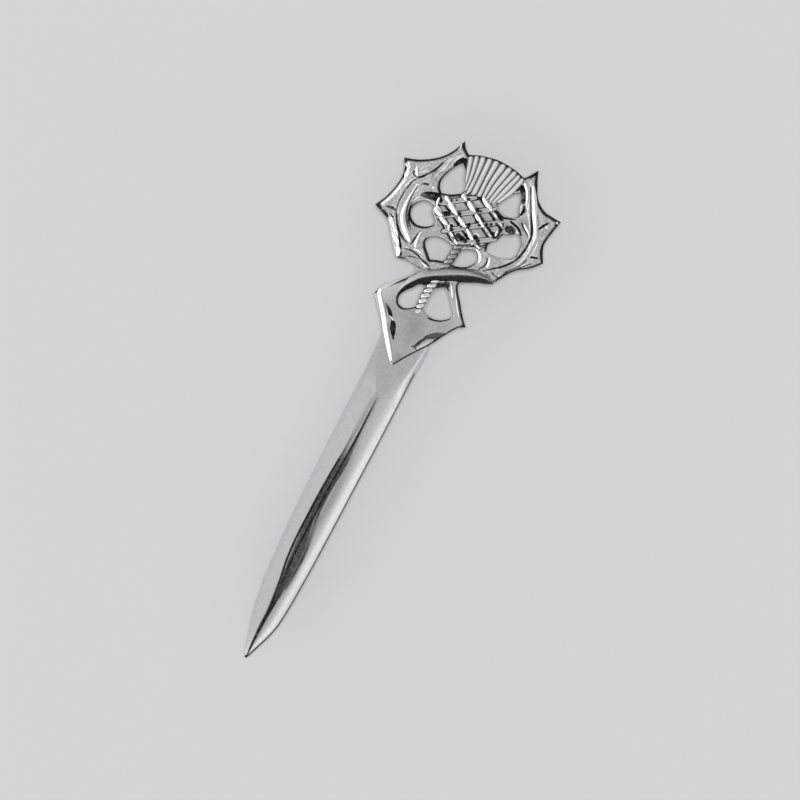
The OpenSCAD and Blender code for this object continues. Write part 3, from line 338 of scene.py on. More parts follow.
# Painted dark reflection along the blade: its streaks, then softer painted shade beside them: rows of x, y,
# width and darkness
BLADE_STREAKS = [
    [(0.18, 0.2, 0.35, 0.9), (0.06, 3.0, 0.62, 0.95), (0.03, 6.0, 0.85, 0.97), (0.1, 9.0, 1.05, 0.97),
     (0.1, 12.0, 1.7, 0.92), (0.05, 15.0, 2.3, 0.9), (0.0, 18.0, 2.6, 0.88), (-0.15, 21.0, 2.7, 0.88),
     (-0.5, 23.5, 2.3, 0.9), (-0.8, 26.0, 1.9, 0.92), (-0.8, 30.0, 1.9, 0.92), (-0.6, 33.5, 2.0, 0.9),
     (-0.35, 35.8, 2.0, 0.88), (-0.3, 37.6, 1.7, 0.8), (-0.22, 39.4, 1.1, 0.6), (-0.15, 41.5, 0.65, 0.45),
     (-0.1, 44.0, 0.3, 0.2)],
    [(-0.1, 9.0, 0.3, 1.0), (-0.6, 14.0, 0.45, 1.0), (-1.2, 18.0, 0.5, 1.0), (-1.45, 22.0, 0.55, 1.0),
     (-1.45, 26.0, 0.55, 1.0), (-1.4, 30.0, 0.55, 1.0), (-1.25, 34.0, 0.5, 1.0), (-1.1, 37.0, 0.45, 1.0),
     (-0.95, 40.0, 0.3, 0.6), (-0.8, 44.5, 0.2, 0.3)],
    [(-0.1, 12.0, 0.3, 0.9), (-0.3, 16.0, 0.5, 1.0), (-0.5, 20.0, 0.6, 1.0), (-0.45, 25.0, 0.6, 1.0),
     (-0.4, 30.0, 0.6, 1.0), (-0.3, 34.0, 0.55, 1.0), (-0.15, 38.0, 0.5, 1.0), (0.0, 42.0, 0.5, 0.98),
     (0.0, 45.0, 0.46, 0.95), (0.0, 47.6, 0.38, 0.9), (-0.02, 49.6, 0.2, 0.6)],
    [(0.9, 13.5, 0.3, 0.9), (1.05, 17.0, 0.4, 0.95), (1.1, 20.0, 0.4, 0.95), (0.9, 22.5, 0.35, 0.8),
     (0.5, 24.5, 0.3, 0.5)],
    [(0.3, 35.5, 0.3, 0.6), (0.45, 37.6, 0.5, 0.9), (0.35, 38.8, 0.3, 0.6)],
]
BLADE_SHADES = [
    [(0.3, 20.0, 1.6, 0.3), (0.6, 25.0, 2.4, 0.45), (0.8, 29.0, 2.8, 0.45), (0.9, 33.0, 2.8, 0.42),
     (0.8, 38.0, 2.4, 0.35), (0.5, 43.0, 1.6, 0.25), (0.2, 47.0, 0.8, 0.15)],
    [(-0.1, 5.0, 1.2, 0.3), (0.0, 10.0, 2.0, 0.4), (0.1, 15.0, 3.2, 0.4), (0.1, 20.0, 3.8, 0.35),
     (-0.3, 26.0, 3.2, 0.3), (-0.4, 34.0, 3.0, 0.3), (-0.3, 42.0, 1.8, 0.3), (-0.1, 48.0, 0.9, 0.2)],
    [(0.7, 11.0, 0.8, 0.3), (1.05, 14.0, 1.2, 0.6), (1.12, 17.0, 1.4, 0.75), (1.05, 20.0, 1.5, 0.85),
     (0.75, 22.5, 1.8, 0.8), (0.45, 24.5, 1.9, 0.76), (0.1, 27.0, 1.2, 0.9), (-0.02, 29.0, 1.0, 0.97),
     (0.0, 32.0, 1.2, 0.92), (0.15, 34.0, 1.3, 0.92), (0.3, 36.5, 1.5, 0.92), (0.25, 38.5, 1.4, 0.85),
     (0.2, 40.5, 1.2, 0.75), (0.12, 43.5, 1.2, 0.55), (0.15, 48.0, 1.5, 0.44), (0.1, 50.0, 0.8, 0.3)],
    [(-0.9, 34.0, 0.5, 0.8), (-0.9, 36.5, 0.7, 0.97), (-0.88, 39.0, 0.8, 0.88), (-0.82, 41.0, 1.0, 0.7),
     (-0.65, 43.5, 1.7, 0.48), (-0.5, 48.0, 2.0, 0.38), (-0.3, 50.5, 1.2, 0.3)],
]

# Shares of darkening: the plates' ground, the bulb's cells, and the painted reflection down the blade's right
# slope
PLATE_SHADE, CELL_SHADE, BLADE_SHADE = 0.2, 0.3, 0.4
# Painted shade half way down a plate's sides, at their foot and on its back
SIDE_SHADES = (0.75, 0.35, 0.15)
# Ways that edges face, as x and y: those with the widest painted dark reflection, and those kept free of it
# to show a highlight
BLACK_WAY, HIGHLIGHT_WAY = (0.5, 0.87), (-0.6, -0.8)

# In millimetres, with heights above the casting's back: each plate's height, the width of the painted dark
# reflection along its edges and the radius that they are rounded to
LEAF_T, LEAF_BLACK, LEAF_ROUND = 1.8, 0.68, 0.22
HILT_T, HILT_BLACK, HILT_ROUND = 2.0, 0.52, 0.2
BULB_EDGE, BULB_RISE, BULB_BLACK, BULB_ROUND = 2.2, 1.1, 0.5, 0.3
BULB_MID, BULB_HALF, HEAD_MID = (0.0, 83.4), (6.7, 5.0), 83.5
# How far in from the bars the bulb's cushions rise, and how steeply the painted shadow in its pits turns
# black
CUSHION, PIT_STEEP = 0.9, 2.0
# A plate's points: their spacing, how far their rings lie inside its edges, and their least height
STEP, RINGS, THINNEST = 0.11, (0.05, 0.11, 0.18, 0.27), 0.25
# Spacing of points along a line that is cut or raised on a face
LINE_STEP = 0.35
# The carver's lines, and the cells of the cast grain
FLUTE_DEPTH, GRAIN_CELL = 0.034, 0.27
# The leaves' ribs against their table, and how far the feet of ribs lie below a face
RIB_WIDTH, RIB_RISE, SUNK = 1.15, 0.55, 0.05
# How far the ridges of rims and drops lean to the right and up, as shares of half their width
RIDGE_LEAN = (0.26, 0.44, 0)
# Width and height of the bulb's bars from end to end, and of its drops at shares of their length
BAR_SHAPE = [0.55, 0.85] + [1.0] * 10 + [0.85, 0.55]
DROP_SHAPE = [(0.0, 0.3), (0.1, 0.7), (0.28, 0.97), (0.5, 1.0), (0.72, 0.95), (0.9, 0.65), (1.0, 0.25)]
# The heights that the tuft's ribs and the stem start from, then the ribs' rise for each millimetre of width
# and how much wider they are than the room between their grooves
TUFT_T, STEM_T, TUFT_RISE, TUFT_OVERLAP = 1.85, 1.4, 0.36, 1.04
# The boss: shares of its height and width from its foot up, and the points round it
BOSS_RINGS, BOSS_SIDES = [(0.0, 1.0), (0.25, 0.98), (0.5, 0.87), (0.75, 0.66), (0.95, 0.31)], 24
# The ribbon's foot and how far its sides go below it, then across it: shares of half its width and of its
# height, and the painted shade, darkest on the lower slope and at the edges
RIBBON_FOOT, RIBBON_SUNK = 1.5, 0.9
RIBBON_SECTION = [
    (-1.0, -1.0, 1.0), (-1.0, 0.0, 1.0), (-0.985, 0.12, 1.0), (-0.93, 0.22, 1.0), (-0.8, 0.36, 1.0),
    (-0.62, 0.53, 1.0), (-0.42, 0.7, 1.0), (-0.22, 0.86, 1.0), (-0.08, 0.96, 0.95), (0.0, 1.0, 0.5),
    (0.1, 0.99, 0.3), (0.25, 0.93, 0.4), (0.42, 0.86, 0.55), (0.6, 0.8, 0.35), (0.78, 0.66, 0.25),
    (0.9, 0.48, 0.5), (0.97, 0.28, 0.85), (1.0, 0.1, 1.0), (1.0, -1.0, 1.0),
]
# Across the blade's left side: shares of its width, of its edge's height and of the rise to the crest
BLADE_LEFT = [(0.0, 0.0, 0.0), (0.0, 0.5, 0.0), (0.0, 0.97, 0.0), (0.005, 1.0, 0.0), (0.03, 1.0, 0.03)]
BLADE_LEFT += [(s, 1.0, 0.09 + 0.91 * (s - 0.12) / 0.88) for s in np.linspace(0.12, 1, 40)]

# The pin back, in the frame's metres: the foot's length, the catch's ends, lip and roof, and the needle's
# middle line, its sides and the first radii behind its tip
FOOT_LONG, FOOT_BEVEL = 0.0026, 0.0003
CATCH_ENDS, CATCH_LIP, CATCH_ROOF, CATCH_BEVEL = (-0.0357, -0.0327), 0.0004, 0.0017, 0.00012
NEEDLE_X, NEEDLE_Z, NEEDLE_SIDES = -0.00035, 0.00105, 32
NEEDLE_TIP = [(0.0, 0.00003), (0.00012, 0.00009), (0.0004, 0.0002), (0.0008, 0.00036)]

# The stage: half the floor, the middle, width and turn of what the camera sees, and its height and sensor
FLOOR_HALF = 1.5
VIEW_MIDDLE, VIEW_WIDE, VIEW_TURN = (0.00387, 0.00276), 0.1362, 27.04
CAMERA_HIGH, SENSOR = 1.0, 36
# The studio's strength, and its brightness by height on the side that it lights and on its dark side
STUDIO = 2.0
LIT_SIDE = [
    (0.0, 1.0), (0.09, 1.6), (0.34, 2.0), (0.55, 1.3), (0.68, 0.72), (0.8, 0.44), (0.9, 0.5), (0.97, 0.56),
    (1.0, 0.57),
]
DARK_SIDE = [
    (0.0, 0.02), (0.16, 0.03), (0.31, 0.1), (0.47, 0.5), (0.64, 0.85), (0.82, 0.66), (0.95, 0.58),
    (1.0, 0.57),
]


def in_frame(places):
    """Places in the pin's millimetres as metres in the shared frame."""
    places = np.array(places, float)
    return np.stack([LOW.x + (places[:, 0] - LEFT) * SCALE_X, LOW.y + places[:, 1] * SCALE_Y,
                     LOW.z + places[:, 2] / PER_METRE], axis=1)


def glide(a, b, u, v, t):
    """Point at share t between a and b, leaving along u and arriving along v."""
    s, c = t * t, t * t * t
    return (2 * c - 3 * s + 1) * a + (c - 2 * s + t) * u + (3 * s - 2 * c) * b + (c - s) * v


def closed_line(rows, gap):
    """Points of a closed outline at about gap apart, smooth apart from its corners, in millimetres."""
    places = [np.array(r[:2], float) for r in rows]
    count = len(rows)
    points = []
    for i in range(count):
        a, b = places[i], places[(i + 1) % count]
        u = b - a if rows[i][2] else (b - places[i - 1]) / 2
        v = b - a if rows[(i + 1) % count][2] else (places[(i + 2) % count] - a) / 2
        steps = max(1, round(float(np.linalg.norm(b - a)) / gap))
        points += [glide(a, b, u, v, k / steps) for k in range(steps)]
    return np.array(points)


def open_line(rows, gap):
    """Rows of any length at about gap apart along a smooth open line."""
    rows = [np.array(r, float) for r in rows]
    last = len(rows) - 1
    points = []
    for i in range(last):
        u = (rows[i + 1] - rows[max(i - 1, 0)]) / (1 if i == 0 else 2)
        v = (rows[min(i + 2, last)] - rows[i]) / (1 if i == last - 1 else 2)
        steps = max(1, round(float(np.linalg.norm((rows[i + 1] - rows[i])[:2])) / gap))
        points += [glide(rows[i], rows[i + 1], u, v, k / steps) for k in range(steps)]
    return np.array(points + [rows[last]])


def soft(s):
    """Profile across a line, from 1 in its middle to 0 at its sides: a smooth swell."""
    return (1 - s * s) ** 2


def flat_floor(s):
    """A profile with steep sides."""
    return np.clip((1 - s) / 0.35, 0, 1) ** 0.8


def straight_sides(s):
    """A profile with plain slopes for sides."""
    return np.clip((1 - s) / 0.4, 0, 1)


def stroke(points, rows, profile):
    """Height that a line of x, y, width and height gives at each point, from its profile across."""
    line = open_line(rows, LINE_STEP)
    found = np.zeros(len(points))
    reach = line[:, 2].max() / 2
    low, high = line[:, :2].min(0) - reach, line[:, :2].max(0) + reach
    near = np.nonzero(((points > low) & (points < high)).all(1))[0]
    spots = points[near]
    for a, b in zip(line[:-1], line[1:]):
        along = b[:2] - a[:2]
        t = np.clip(((spots - a[:2]) @ along) / max(float(along @ along), 1e-9), 0, 1)
        off = np.linalg.norm(spots - a[:2] - t[:, None] * along, axis=1)
        half = np.maximum((a[2] + t * (b[2] - a[2])) / 2, 1e-3)
        height = (a[3] + t * (b[3] - a[3])) * profile(np.clip(off / half, 0, 1))
        found[near] = np.maximum(found[near], height)
    return found


def strokes(points, lines, profile):
    """The highest of several lines' heights at each point."""
    return np.max([stroke(points, rows, profile) for rows in lines], axis=0)


def left_of(ways):
    """Unit directions a quarter turn to the left of the given ones."""
    ways = ways / np.maximum(np.linalg.norm(ways, axis=1), 1e-9)[:, None]
    return np.stack([-ways[:, 1], ways[:, 0]], axis=1)


class Edge:
    """Finds how far points lie from a plate's outline and openings, and which way the nearest edge faces."""

    def __init__(self, loops):
        self.loops = loops
        self.starts = np.concatenate(loops)
        firsts = np.cumsum([0] + [len(loop) for loop in loops[:-1]])
        # The number of the point that follows each point on its loop, and of the one before it
        numbers = [np.roll(np.arange(len(loop)), -1) for loop in loops]
        self.after = np.concatenate([number + first for number, first in zip(numbers, firsts)])
        self.before = np.argsort(self.after)
        self.ends = self.starts[self.after]
        self.tree = kdtree.KDTree(len(self.starts))
        for i, p in enumerate(self.starts):
            self.tree.insert((p[0], p[1], 0), i)
        self.tree.balance()

    def nearest(self, points):
        """Each point's distance from the nearest edge, the way to it, and whether it is the outline's."""
        index = np.array([self.tree.find((x, y, 0))[1] for x, y in points])
        off = np.full(len(points), np.inf)
        place = np.zeros((len(points), 2))
        for pick in (index, self.before[index]):
            a, b = self.starts[pick], self.ends[pick]
            along = b - a
            t = np.clip(((points - a) * along).sum(1) / np.maximum((along * along).sum(1), 1e-12), 0, 1)
            q = a + t[:, None] * along
            d = np.linalg.norm(points - q, axis=1)
            closer = d < off
            off[closer], place[closer] = d[closer], q[closer]
        return off, (place - points) / np.maximum(off, 1e-9)[:, None], index < len(self.loops[0])

    def inside(self, points):
        """Which points lie in the plate: a line to their right crosses its edges an odd number of times."""
        (ax, ay), (bx, by) = self.starts.T, self.ends.T
        rise = np.where(by == ay, 1e-12, by - ay)
        found = []
        # In parts, because each part makes a table of all its points against all the edges
        for part in np.array_split(points, len(points) // 4000 + 1):
            x, y = part[:, 0:1], part[:, 1:2]
            crosses = (ay <= y) != (by <= y)
            found.append((crosses & (ax + (y - ay) / rise * (bx - ax) > x)).sum(1) % 2 == 1)
        return np.concatenate(found)


def triangles_of(points, edge):
    """Triangles on the points that lie inside the plate. The first points are its edge, in order."""
    links = list(enumerate(edge.after.tolist()))
    _, _, faces, origins, _, _ = geometry.delaunay_2d_cdt([Vector(p) for p in points], links, [], 0, 1e-7)
    own = np.array([o[0] if o else -1 for o in origins])
    faces = own[np.array([f for f in faces if len(f) == 3])]
    faces = faces[(faces >= 0).all(1)]
    # From the triangles with a point off the edge, the rest of the plate is reached across sides that aren't
    # its edge. This also settles the flat slivers that lie along a straight edge.
    numbered = [len(points), 1]
    sides = np.sort(faces[:, [[0, 1], [1, 2], [2, 0]]], axis=2) @ numbered
    sides[np.isin(sides, np.sort(links, axis=1) @ numbered)] = -1
    plate_faces = (faces >= len(edge.starts)).any(1)
    while True:
        reached = ~plate_faces & (np.isin(sides, sides[plate_faces]) & (sides >= 0)).any(1)
        if not reached.any():
            return faces[plate_faces]
        plate_faces |= reached


def placed(name, mesh):
    """A new object with this mesh, in the scene."""
    obj = bpy.data.objects.new(name, mesh)
    bpy.context.scene.collection.objects.link(obj)
    return obj


def store(mesh, name, values):
    """Stores one number at each point of a mesh."""
    layer = mesh.attributes.get(name) or mesh.attributes.new(name, "FLOAT", "POINT")
    layer.data.foreach_set("value", np.array(values, np.float32))


def finished(name, bm, sharp=40):
    """An object from a bmesh in metres, facing outward and smooth apart from edges over the sharp angle."""
    bmesh.ops.recalc_face_normals(bm, faces=bm.faces)
    for face in bm.faces:
        face.smooth = True
    mesh = bpy.data.meshes.new(name)
    bm.to_mesh(mesh)
    bm.free()
    mesh.set_sharp_from_angle(angle=math.radians(sharp))
    return placed(name, mesh)


def solid(name, places, faces, tarnish_and_painted_shade=None, sharp=40):
    """An object from places in metres and their faces, with the tarnish and painted shade at each place."""
    mesh = bpy.data.meshes.new("draft")
    mesh.from_pydata(places.tolist(), [], [[int(i) for i in face] for face in faces])
    if tarnish_and_painted_shade is not None:
        store(mesh, "tarnish_and_painted_shade", tarnish_and_painted_shade)
    mesh.validate()
    bm = bmesh.new()
    bm.from_mesh(mesh)
    bpy.data.meshes.remove(mesh)
    return finished(name, bm, sharp)


def ring_faces(rings, count):
    """Faces of a closed skin over rings of points, with a flat face at each end."""
    faces = []
    for i in range(rings - 1):
        for j in range(count):
            k = (j + 1) % count
            faces.append((i * count + j, i * count + k, (i + 1) * count + k, (i + 1) * count + j))
    first = tuple(range(count))
    return faces + [first[::-1], tuple((rings - 1) * count + j for j in first)]


def plate(name, outline, openings, face):
    """A plate with a flat back, cut through at its openings.

    face(points, off, away, outer) gives the heights, and the tarnish and painted shade, of points from how
    far off the nearest edge is, which way it lies and whether it is the outline's.
    """
    edge = Edge([closed_line(rows, STEP) for rows in [outline] + openings])
    rim = edge.starts
    inward, rings, grid = [], [], []
    for loop in edge.loops:
        within = left_of(np.roll(loop, -1, axis=0) - np.roll(loop, 1, axis=0))
        within[~edge.inside(loop + within * 0.02)] *= -1
        inward.append(within)
        for depth in RINGS:
            ring = loop + within * depth
            ring = ring[edge.inside(ring)]
            rings.append(ring[edge.nearest(ring)[0] > depth * 0.93])
    low, high = edge.loops[0].min(0), edge.loops[0].max(0)
    for j, y in enumerate(np.arange(low[1], high[1], STEP * math.sqrt(3) / 2)):
        x = np.arange(low[0] + (j % 2) * STEP / 2, high[0], STEP)
        grid.append(np.stack([x, np.full(len(x), y)], axis=1))
    grid = np.concatenate(grid)
    grid = grid[edge.inside(grid)]
    grid = grid[edge.nearest(grid)[0] > RINGS[-1] + STEP * 0.5]
    points = np.concatenate([rim] + rings + [grid])
    off, away, outer = edge.nearest(points)
    off[:len(rim)] = 0
    away[:len(rim)] = -np.concatenate(inward)
    heights, tarnish_and_painted_shade = face(points, off, away, outer)
    heights = np.maximum(heights, THINNEST)
    # The back needs only a few of the face's points
    back = grid[::37]
    # The sides and the back get painted shade, from SIDE_SHADES
    levels = [(points, heights), (rim, heights[:len(rim)] * 0.5), (rim, 0), (back, 0)]
    places = np.concatenate([np.column_stack([spots, np.broadcast_to(z, len(spots))]) for spots, z in levels])
    shade = [tarnish_and_painted_shade] + [np.full(len(spots), value) for (spots, _), value in zip(levels[1:], SIDE_SHADES)]
    middle = len(points)
    under = middle + len(rim)
    walls = []
    for a, b in enumerate(edge.after):
        walls.append((a, b, middle + b, middle + a))
        walls.append((middle + a, middle + b, under + b, under + a))
    back_faces = triangles_of(np.concatenate([rim, back]), edge)[:, ::-1] + under
    faces = [*triangles_of(points, edge), *walls, *back_faces]
    return solid(name, in_frame(places), faces, np.concatenate(shade))


def rounded(off, radius):
    """How far a rounded edge drops at a distance from the edge."""
    inner = np.clip(radius - off, 0, radius)
    return radius - np.sqrt(np.maximum(radius * radius - inner * inner, 0))


def share_of_reach(points, x, y, reach):
    """Distance of each point from a place, as a share of the place's reach."""
    return np.hypot(points[:, 0] - x, points[:, 1] - y) / reach


def patched(points, patches):
    """How much the patches of painted highlight and painted shade change the darkening at each point."""
    return sum(by * soft(np.clip(share_of_reach(points, x, y, reach), 0, 1)) for x, y, reach, by in patches)


def nearness(points, places, steep=2.5):
    """How near each point is to the nearest of several places, from 1 inside to 0 outside."""
    return np.max([np.clip(steep - steep * share_of_reach(points, *place), 0, 1) for place in places], axis=0)


def edge_painted_shade(points, off, away, outer, wide):
    """Painted dark reflection along an edge: widest where it faces up and right, and none in an opening's
    other edges.
    """
    facing = away @ np.array(BLACK_WAY)
    black = nearness(points, BLACK_EDGES)
    outline = np.maximum(np.clip(0.68 + 0.32 * facing, 0.5, 1), 1.1 * black)
    reach = wide * np.where(outer, outline, np.clip(0.3 + 0.7 * facing, 0.02, 1))
    # The painted dark is left off edges that face the light, so that they show a highlight
    highlight = np.clip(away @ np.array(HIGHLIGHT_WAY) * 3 - 1.9, 0, 1) * (1 - black)
    highlight = np.maximum(highlight, nearness(points, HIGHLIGHT_OUTLINE))
    highlight = np.where(outer, highlight, nearness(points, HIGHLIGHT_EDGES))
    return np.clip(2.4 - 2.4 * off / reach, 0, 1) * (1 - highlight)


def chamfer(off, away, toward, wide):
    """A worn slope along the edges that face one way, from 1 at the edge to 0."""
    return np.clip((away @ np.array(toward)) * 1.6 - 0.6, 0, 1) * np.clip(1 - off / wide, 0, 1)


def flutes(points):
    """Fine lines left by the carver, which follow each leaf round the thistle."""
    x, y = points[:, 0], points[:, 1] - HEAD_MID
    turn = np.arctan2(y, x)
    reach = np.hypot(x, y) + 0.35 * np.sin(5 * turn) + 0.25 * np.sin(11 * turn + 1)
    strength = 0.6 + 0.4 * np.sin(7 * turn + reach)
    lines = np.sin(2 * np.pi * reach / 0.62) + 0.6 * np.sin(2 * np.pi * reach / 0.41 + 3 * turn)
    return FLUTE_DEPTH * strength * lines


def cast_grain(points):
    """Small irregular bumps of the cast leaves that polish hasn't taken off, the same at each run."""
    lattice = np.random.default_rng(11).normal(size=(140, 140)).clip(-2, 2)
    place = (points - points.min(0)) / GRAIN_CELL
    whole = np.floor(place).astype(int)
    part = place - whole
    part = part * part * (3 - 2 * part)
    (i, j), (s, t) = whole.T, part.T
    near = lattice[i, j] * (1 - s) + lattice[i + 1, j] * s
    far = lattice[i, j + 1] * (1 - s) + lattice[i + 1, j + 1] * s
    return near * (1 - t) + far * t


def leaf_face(points, off, away, outer):
    """Heights and darkening of the leaves: swollen, fluted and grained, with painted shade in cuts and wells
    and two bright slopes at the left.
    """
    x, y = points.T
    grain = cast_grain(points)
    left = np.where(x < -12, chamfer(off, away, (-1, 0), 0.95), 0)
    low_left = np.where((y < 78) & (x < -7) & (x > -12.4), chamfer(off, away, (-0.8, -0.6), 1.15), 0)
    cuts = strokes(points, LEFT_LEAF_CUTS + RIGHT_LEAF_CUTS, soft)
    wells = strokes(points, LEFT_LEAF_WELLS + RIGHT_LEAF_WELLS, flat_floor)
    heights = LEAF_T - 0.15 + strokes(points, LEAF_SWELLS, soft) + flutes(points) + 0.016 * grain
    heights -= 0.55 * left + 0.72 * low_left + np.maximum(cuts, wells) + rounded(off, LEAF_ROUND)
    # Painted shade in the cuts, the wells and some patches, painted highlights in others, and the grain's
    # random tone
    ground = PLATE_SHADE + 0.02 + patched(points, LEAF_PATCHES) - 0.11 * grain
    tarnish_and_painted_shade = np.clip(ground + np.maximum(cuts / 0.42, wells / 0.6), 0, 1)
    # The bright slopes are kept free of the painted shade, to show their highlight
    tarnish_and_painted_shade *= 1 - np.clip(4 * (left + low_left), 0, 1)
    return heights, np.maximum(tarnish_and_painted_shade, edge_painted_shade(points, off, away, outer, LEAF_BLACK))


def hilt_face(points, off, away, outer):
    """Heights and darkening of the hilt: nearly plain, with its cuts and its painted shade and highlights."""
    cuts = strokes(points, HILT_CUTS, flat_floor)
    heights = HILT_T + 0.12 * flutes(points) - cuts - rounded(off, HILT_ROUND)
    # Painted shade in the cuts by their depth, over the ground with its painted shade and highlights
    ground = PLATE_SHADE + 0.08 + strokes(points, HILT_SHADES, soft) + patched(points, HILT_PATCHES)
    tarnish_and_painted_shade = np.clip(ground + cuts / 0.6, 0, 1)
    return heights, np.maximum(tarnish_and_painted_shade, edge_painted_shade(points, off, away, outer, HILT_BLACK))


def bulb_height(points):
    """Height of the bulb's dome, on which the bars and drops lie."""
    reach = np.linalg.norm((points - np.array(BULB_MID)) / BULB_HALF, axis=1)
    return BULB_EDGE + BULB_RISE * np.sqrt(np.maximum(0, 1 - reach ** 2))


def off_bar(points, bars):
    """Distance from each point to the nearest of the bars' middle lines."""
    found = []
    for x0, y0, x1, y1, _, _ in bars:
        normal = left_of(np.array([[x1 - x0, y1 - y0]]))[0]
        found.append(np.abs((points - np.array([x0, y0])) @ normal))
    return np.min(found, axis=0)


def bulb_face(points, off, away, outer):
    """A dome of scales: each cell between the bars is a shallow cushion, deepest beside the falling bars."""
    falling, rising = off_bar(points, FALLING_BARS), off_bar(points, RISING_BARS)
    cushion = np.clip(np.minimum(falling - 0.4, rising - 0.3), 0, CUSHION)
    # Painted shade along the seams beside the bars, and painted black shadow in the pits
    seams = np.clip(np.maximum(1.38 - (falling - 0.4) / 0.34, 1.15 - (rising - 0.35) / 0.25), 0, 1)
    pits = nearness(points, BULB_PITS, PIT_STEEP)
    heights = bulb_height(points) - 0.28 + 0.3 * np.sqrt(cushion / CUSHION)
    heights -= rounded(off, BULB_ROUND) + 0.25 * pits
    tarnish_and_painted_shade = np.maximum(CELL_SHADE + (1 - CELL_SHADE) * seams, pits)
    return heights, np.maximum(tarnish_and_painted_shade, edge_painted_shade(points, off, away, outer, BULB_BLACK))


def bar_lines(bars):
    """The bulb's bars as lines, cut to the bulb's outline and narrower at their ends."""
    edge = Edge([closed_line(BULB, 0.2)])
    lines = []
    for x0, y0, x1, y1, wide, rise in bars:
        shares = np.linspace(0, 1, 60)[:, None]
        spots = np.array([[x0, y0]]) * (1 - shares) + np.array([[x1, y1]]) * shares
        spots = spots[edge.inside(spots)]
        spots = spots[np.round(np.linspace(0, len(spots) - 1, len(BAR_SHAPE))).astype(int)]
        lines.append([(x, y, wide * k, rise * k) for (x, y), k in zip(spots, BAR_SHAPE)])
    return lines


def drop_lines():
    """The drops as lines that swell in the middle."""
    return [[(x0 + s * (x1 - x0), y0 + s * (y1 - y0), wide * k, DROP_RISE * wide * k) for s, k in DROP_SHAPE]
            for x0, y0, x1, y1, wide in DROPS]


def tuft_lines():
    """The tuft's ribs as lines between its grooves, rounded off at both ends."""
    curves = [np.polyfit(GROOVE_HEIGHTS, places, 2) for places in TUFT_GROOVES]
    lines = []
    for left, right, (foot, top) in zip(curves[:-1], curves[1:], TUFT_ENDS):
        rows = []
        for share, swell in TUFT_SHAPE:
            y = foot + share * (top - foot)
            x0, x1 = np.polyval(left, y), np.polyval(right, y)
            wide = swell * max(x1 - x0, 0.2)
            rows.append(((x0 + x1) / 2, y, TUFT_OVERLAP * wide, TUFT_RISE * wide))
        lines.append(rows)
    return lines


def blacken(mesh):
    """Carries the pits' painted black shadow over the bars that cross them."""
    places = np.array([vertex.co for vertex in mesh.vertices])
    spots = np.column_stack([(places[:, 0] - LOW.x) / SCALE_X + LEFT, (places[:, 1] - LOW.y) / SCALE_Y])
    values = [item.value for item in mesh.attributes["tarnish_and_painted_shade"].data]
    store(mesh, "tarnish_and_painted_shade", np.maximum(values, nearness(spots, BULB_PITS, PIT_STEEP)))


def ribbon_object(name):
    """The ribbon as a ridge: a light slope above it and a steeper one below, painted dark as shade."""
    rows = open_line(RIBBON, 0.25)
    places = []
    for (x, y, above, below, top), (ux, uy) in zip(rows, left_of(np.gradient(rows[:, :2], axis=0))):
        for s, z, _ in RIBBON_SECTION:
            reach = s * (above if s > 0 else below)
            tall = top - RIBBON_FOOT if z >= 0 else RIBBON_SUNK
            places.append((x + reach * ux, y + reach * uy, RIBBON_FOOT + tall * z))
    shade = [dark for _, _, dark in RIBBON_SECTION] * len(rows)
    return solid(name, in_frame(places), ring_faces(len(rows), len(RIBBON_SECTION)), shade, 50)


def blade_ring(wide_l, wide_r, crest_l, crest_r, top):
    """Across the blade: a plane slope at the left, a flat crest and a crowned slope at the right."""
    fall = min(top - EDGE_T, SLOPE * (wide_l - crest_l))
    s, of_low, of_fall = np.array(BLADE_LEFT).T
    left = np.column_stack([-wide_l + s * (wide_l - crest_l), (top - fall) * of_low + fall * of_fall])
    s = np.linspace(0, 1, 9)[1:-1]
    crest = np.column_stack([-crest_l + s * (crest_l + crest_r), top + 0.02 * np.sin(np.pi * s)])
    s = np.concatenate([np.linspace(0, 0.9, 34), [0.92, 0.94, 0.96, 0.975, 0.99]])
    crown = 0.35 * s + 0.65 * s ** 2.4
    right = np.column_stack([crest_r + s * (wide_r - crest_r), top - (top - EDGE_T) * crown])
    return np.concatenate([left, crest, right, [(wide_r, EDGE_T * share) for share in (0.85, 0.45, 0.0)]])


def blade_reflection_shade(x, y, wide_r, crest_l, crest_r):
    """Painted reflection across the blade at y: thin at the left, and fading from the crest to the right
    edge.
    """
    left = 0.07 + (PLATE_SHADE - 0.02) * np.clip((y - 48) / 5, 0, 1)
    high = np.clip((y - 36) / 8, 0, 1)
    fading = np.maximum(0.3 * high, 1 - 1.25 * (x - crest_r) / (wide_r - crest_r))
    right = BLADE_SHADE * (1 - 0.45 * high) * fading
    reflection = np.where(x < -crest_l, left, np.where(x < crest_r, PLATE_SHADE + 0.06, right))
    # A painted dark reflection runs along the right edge, up to where the hilt begins, and the tip is painted
    # dark
    line = 0.3 if y > 56 else 0.95
    thick = 0.12 + 0.12 * max(0, 1 - y / 12)
    near_edge = np.clip(1 - (wide_r - x - thick) / 0.15, 0, 1)
    return np.maximum(np.maximum(line * near_edge, reflection), np.clip(2 - 3 * y, 0, 1))


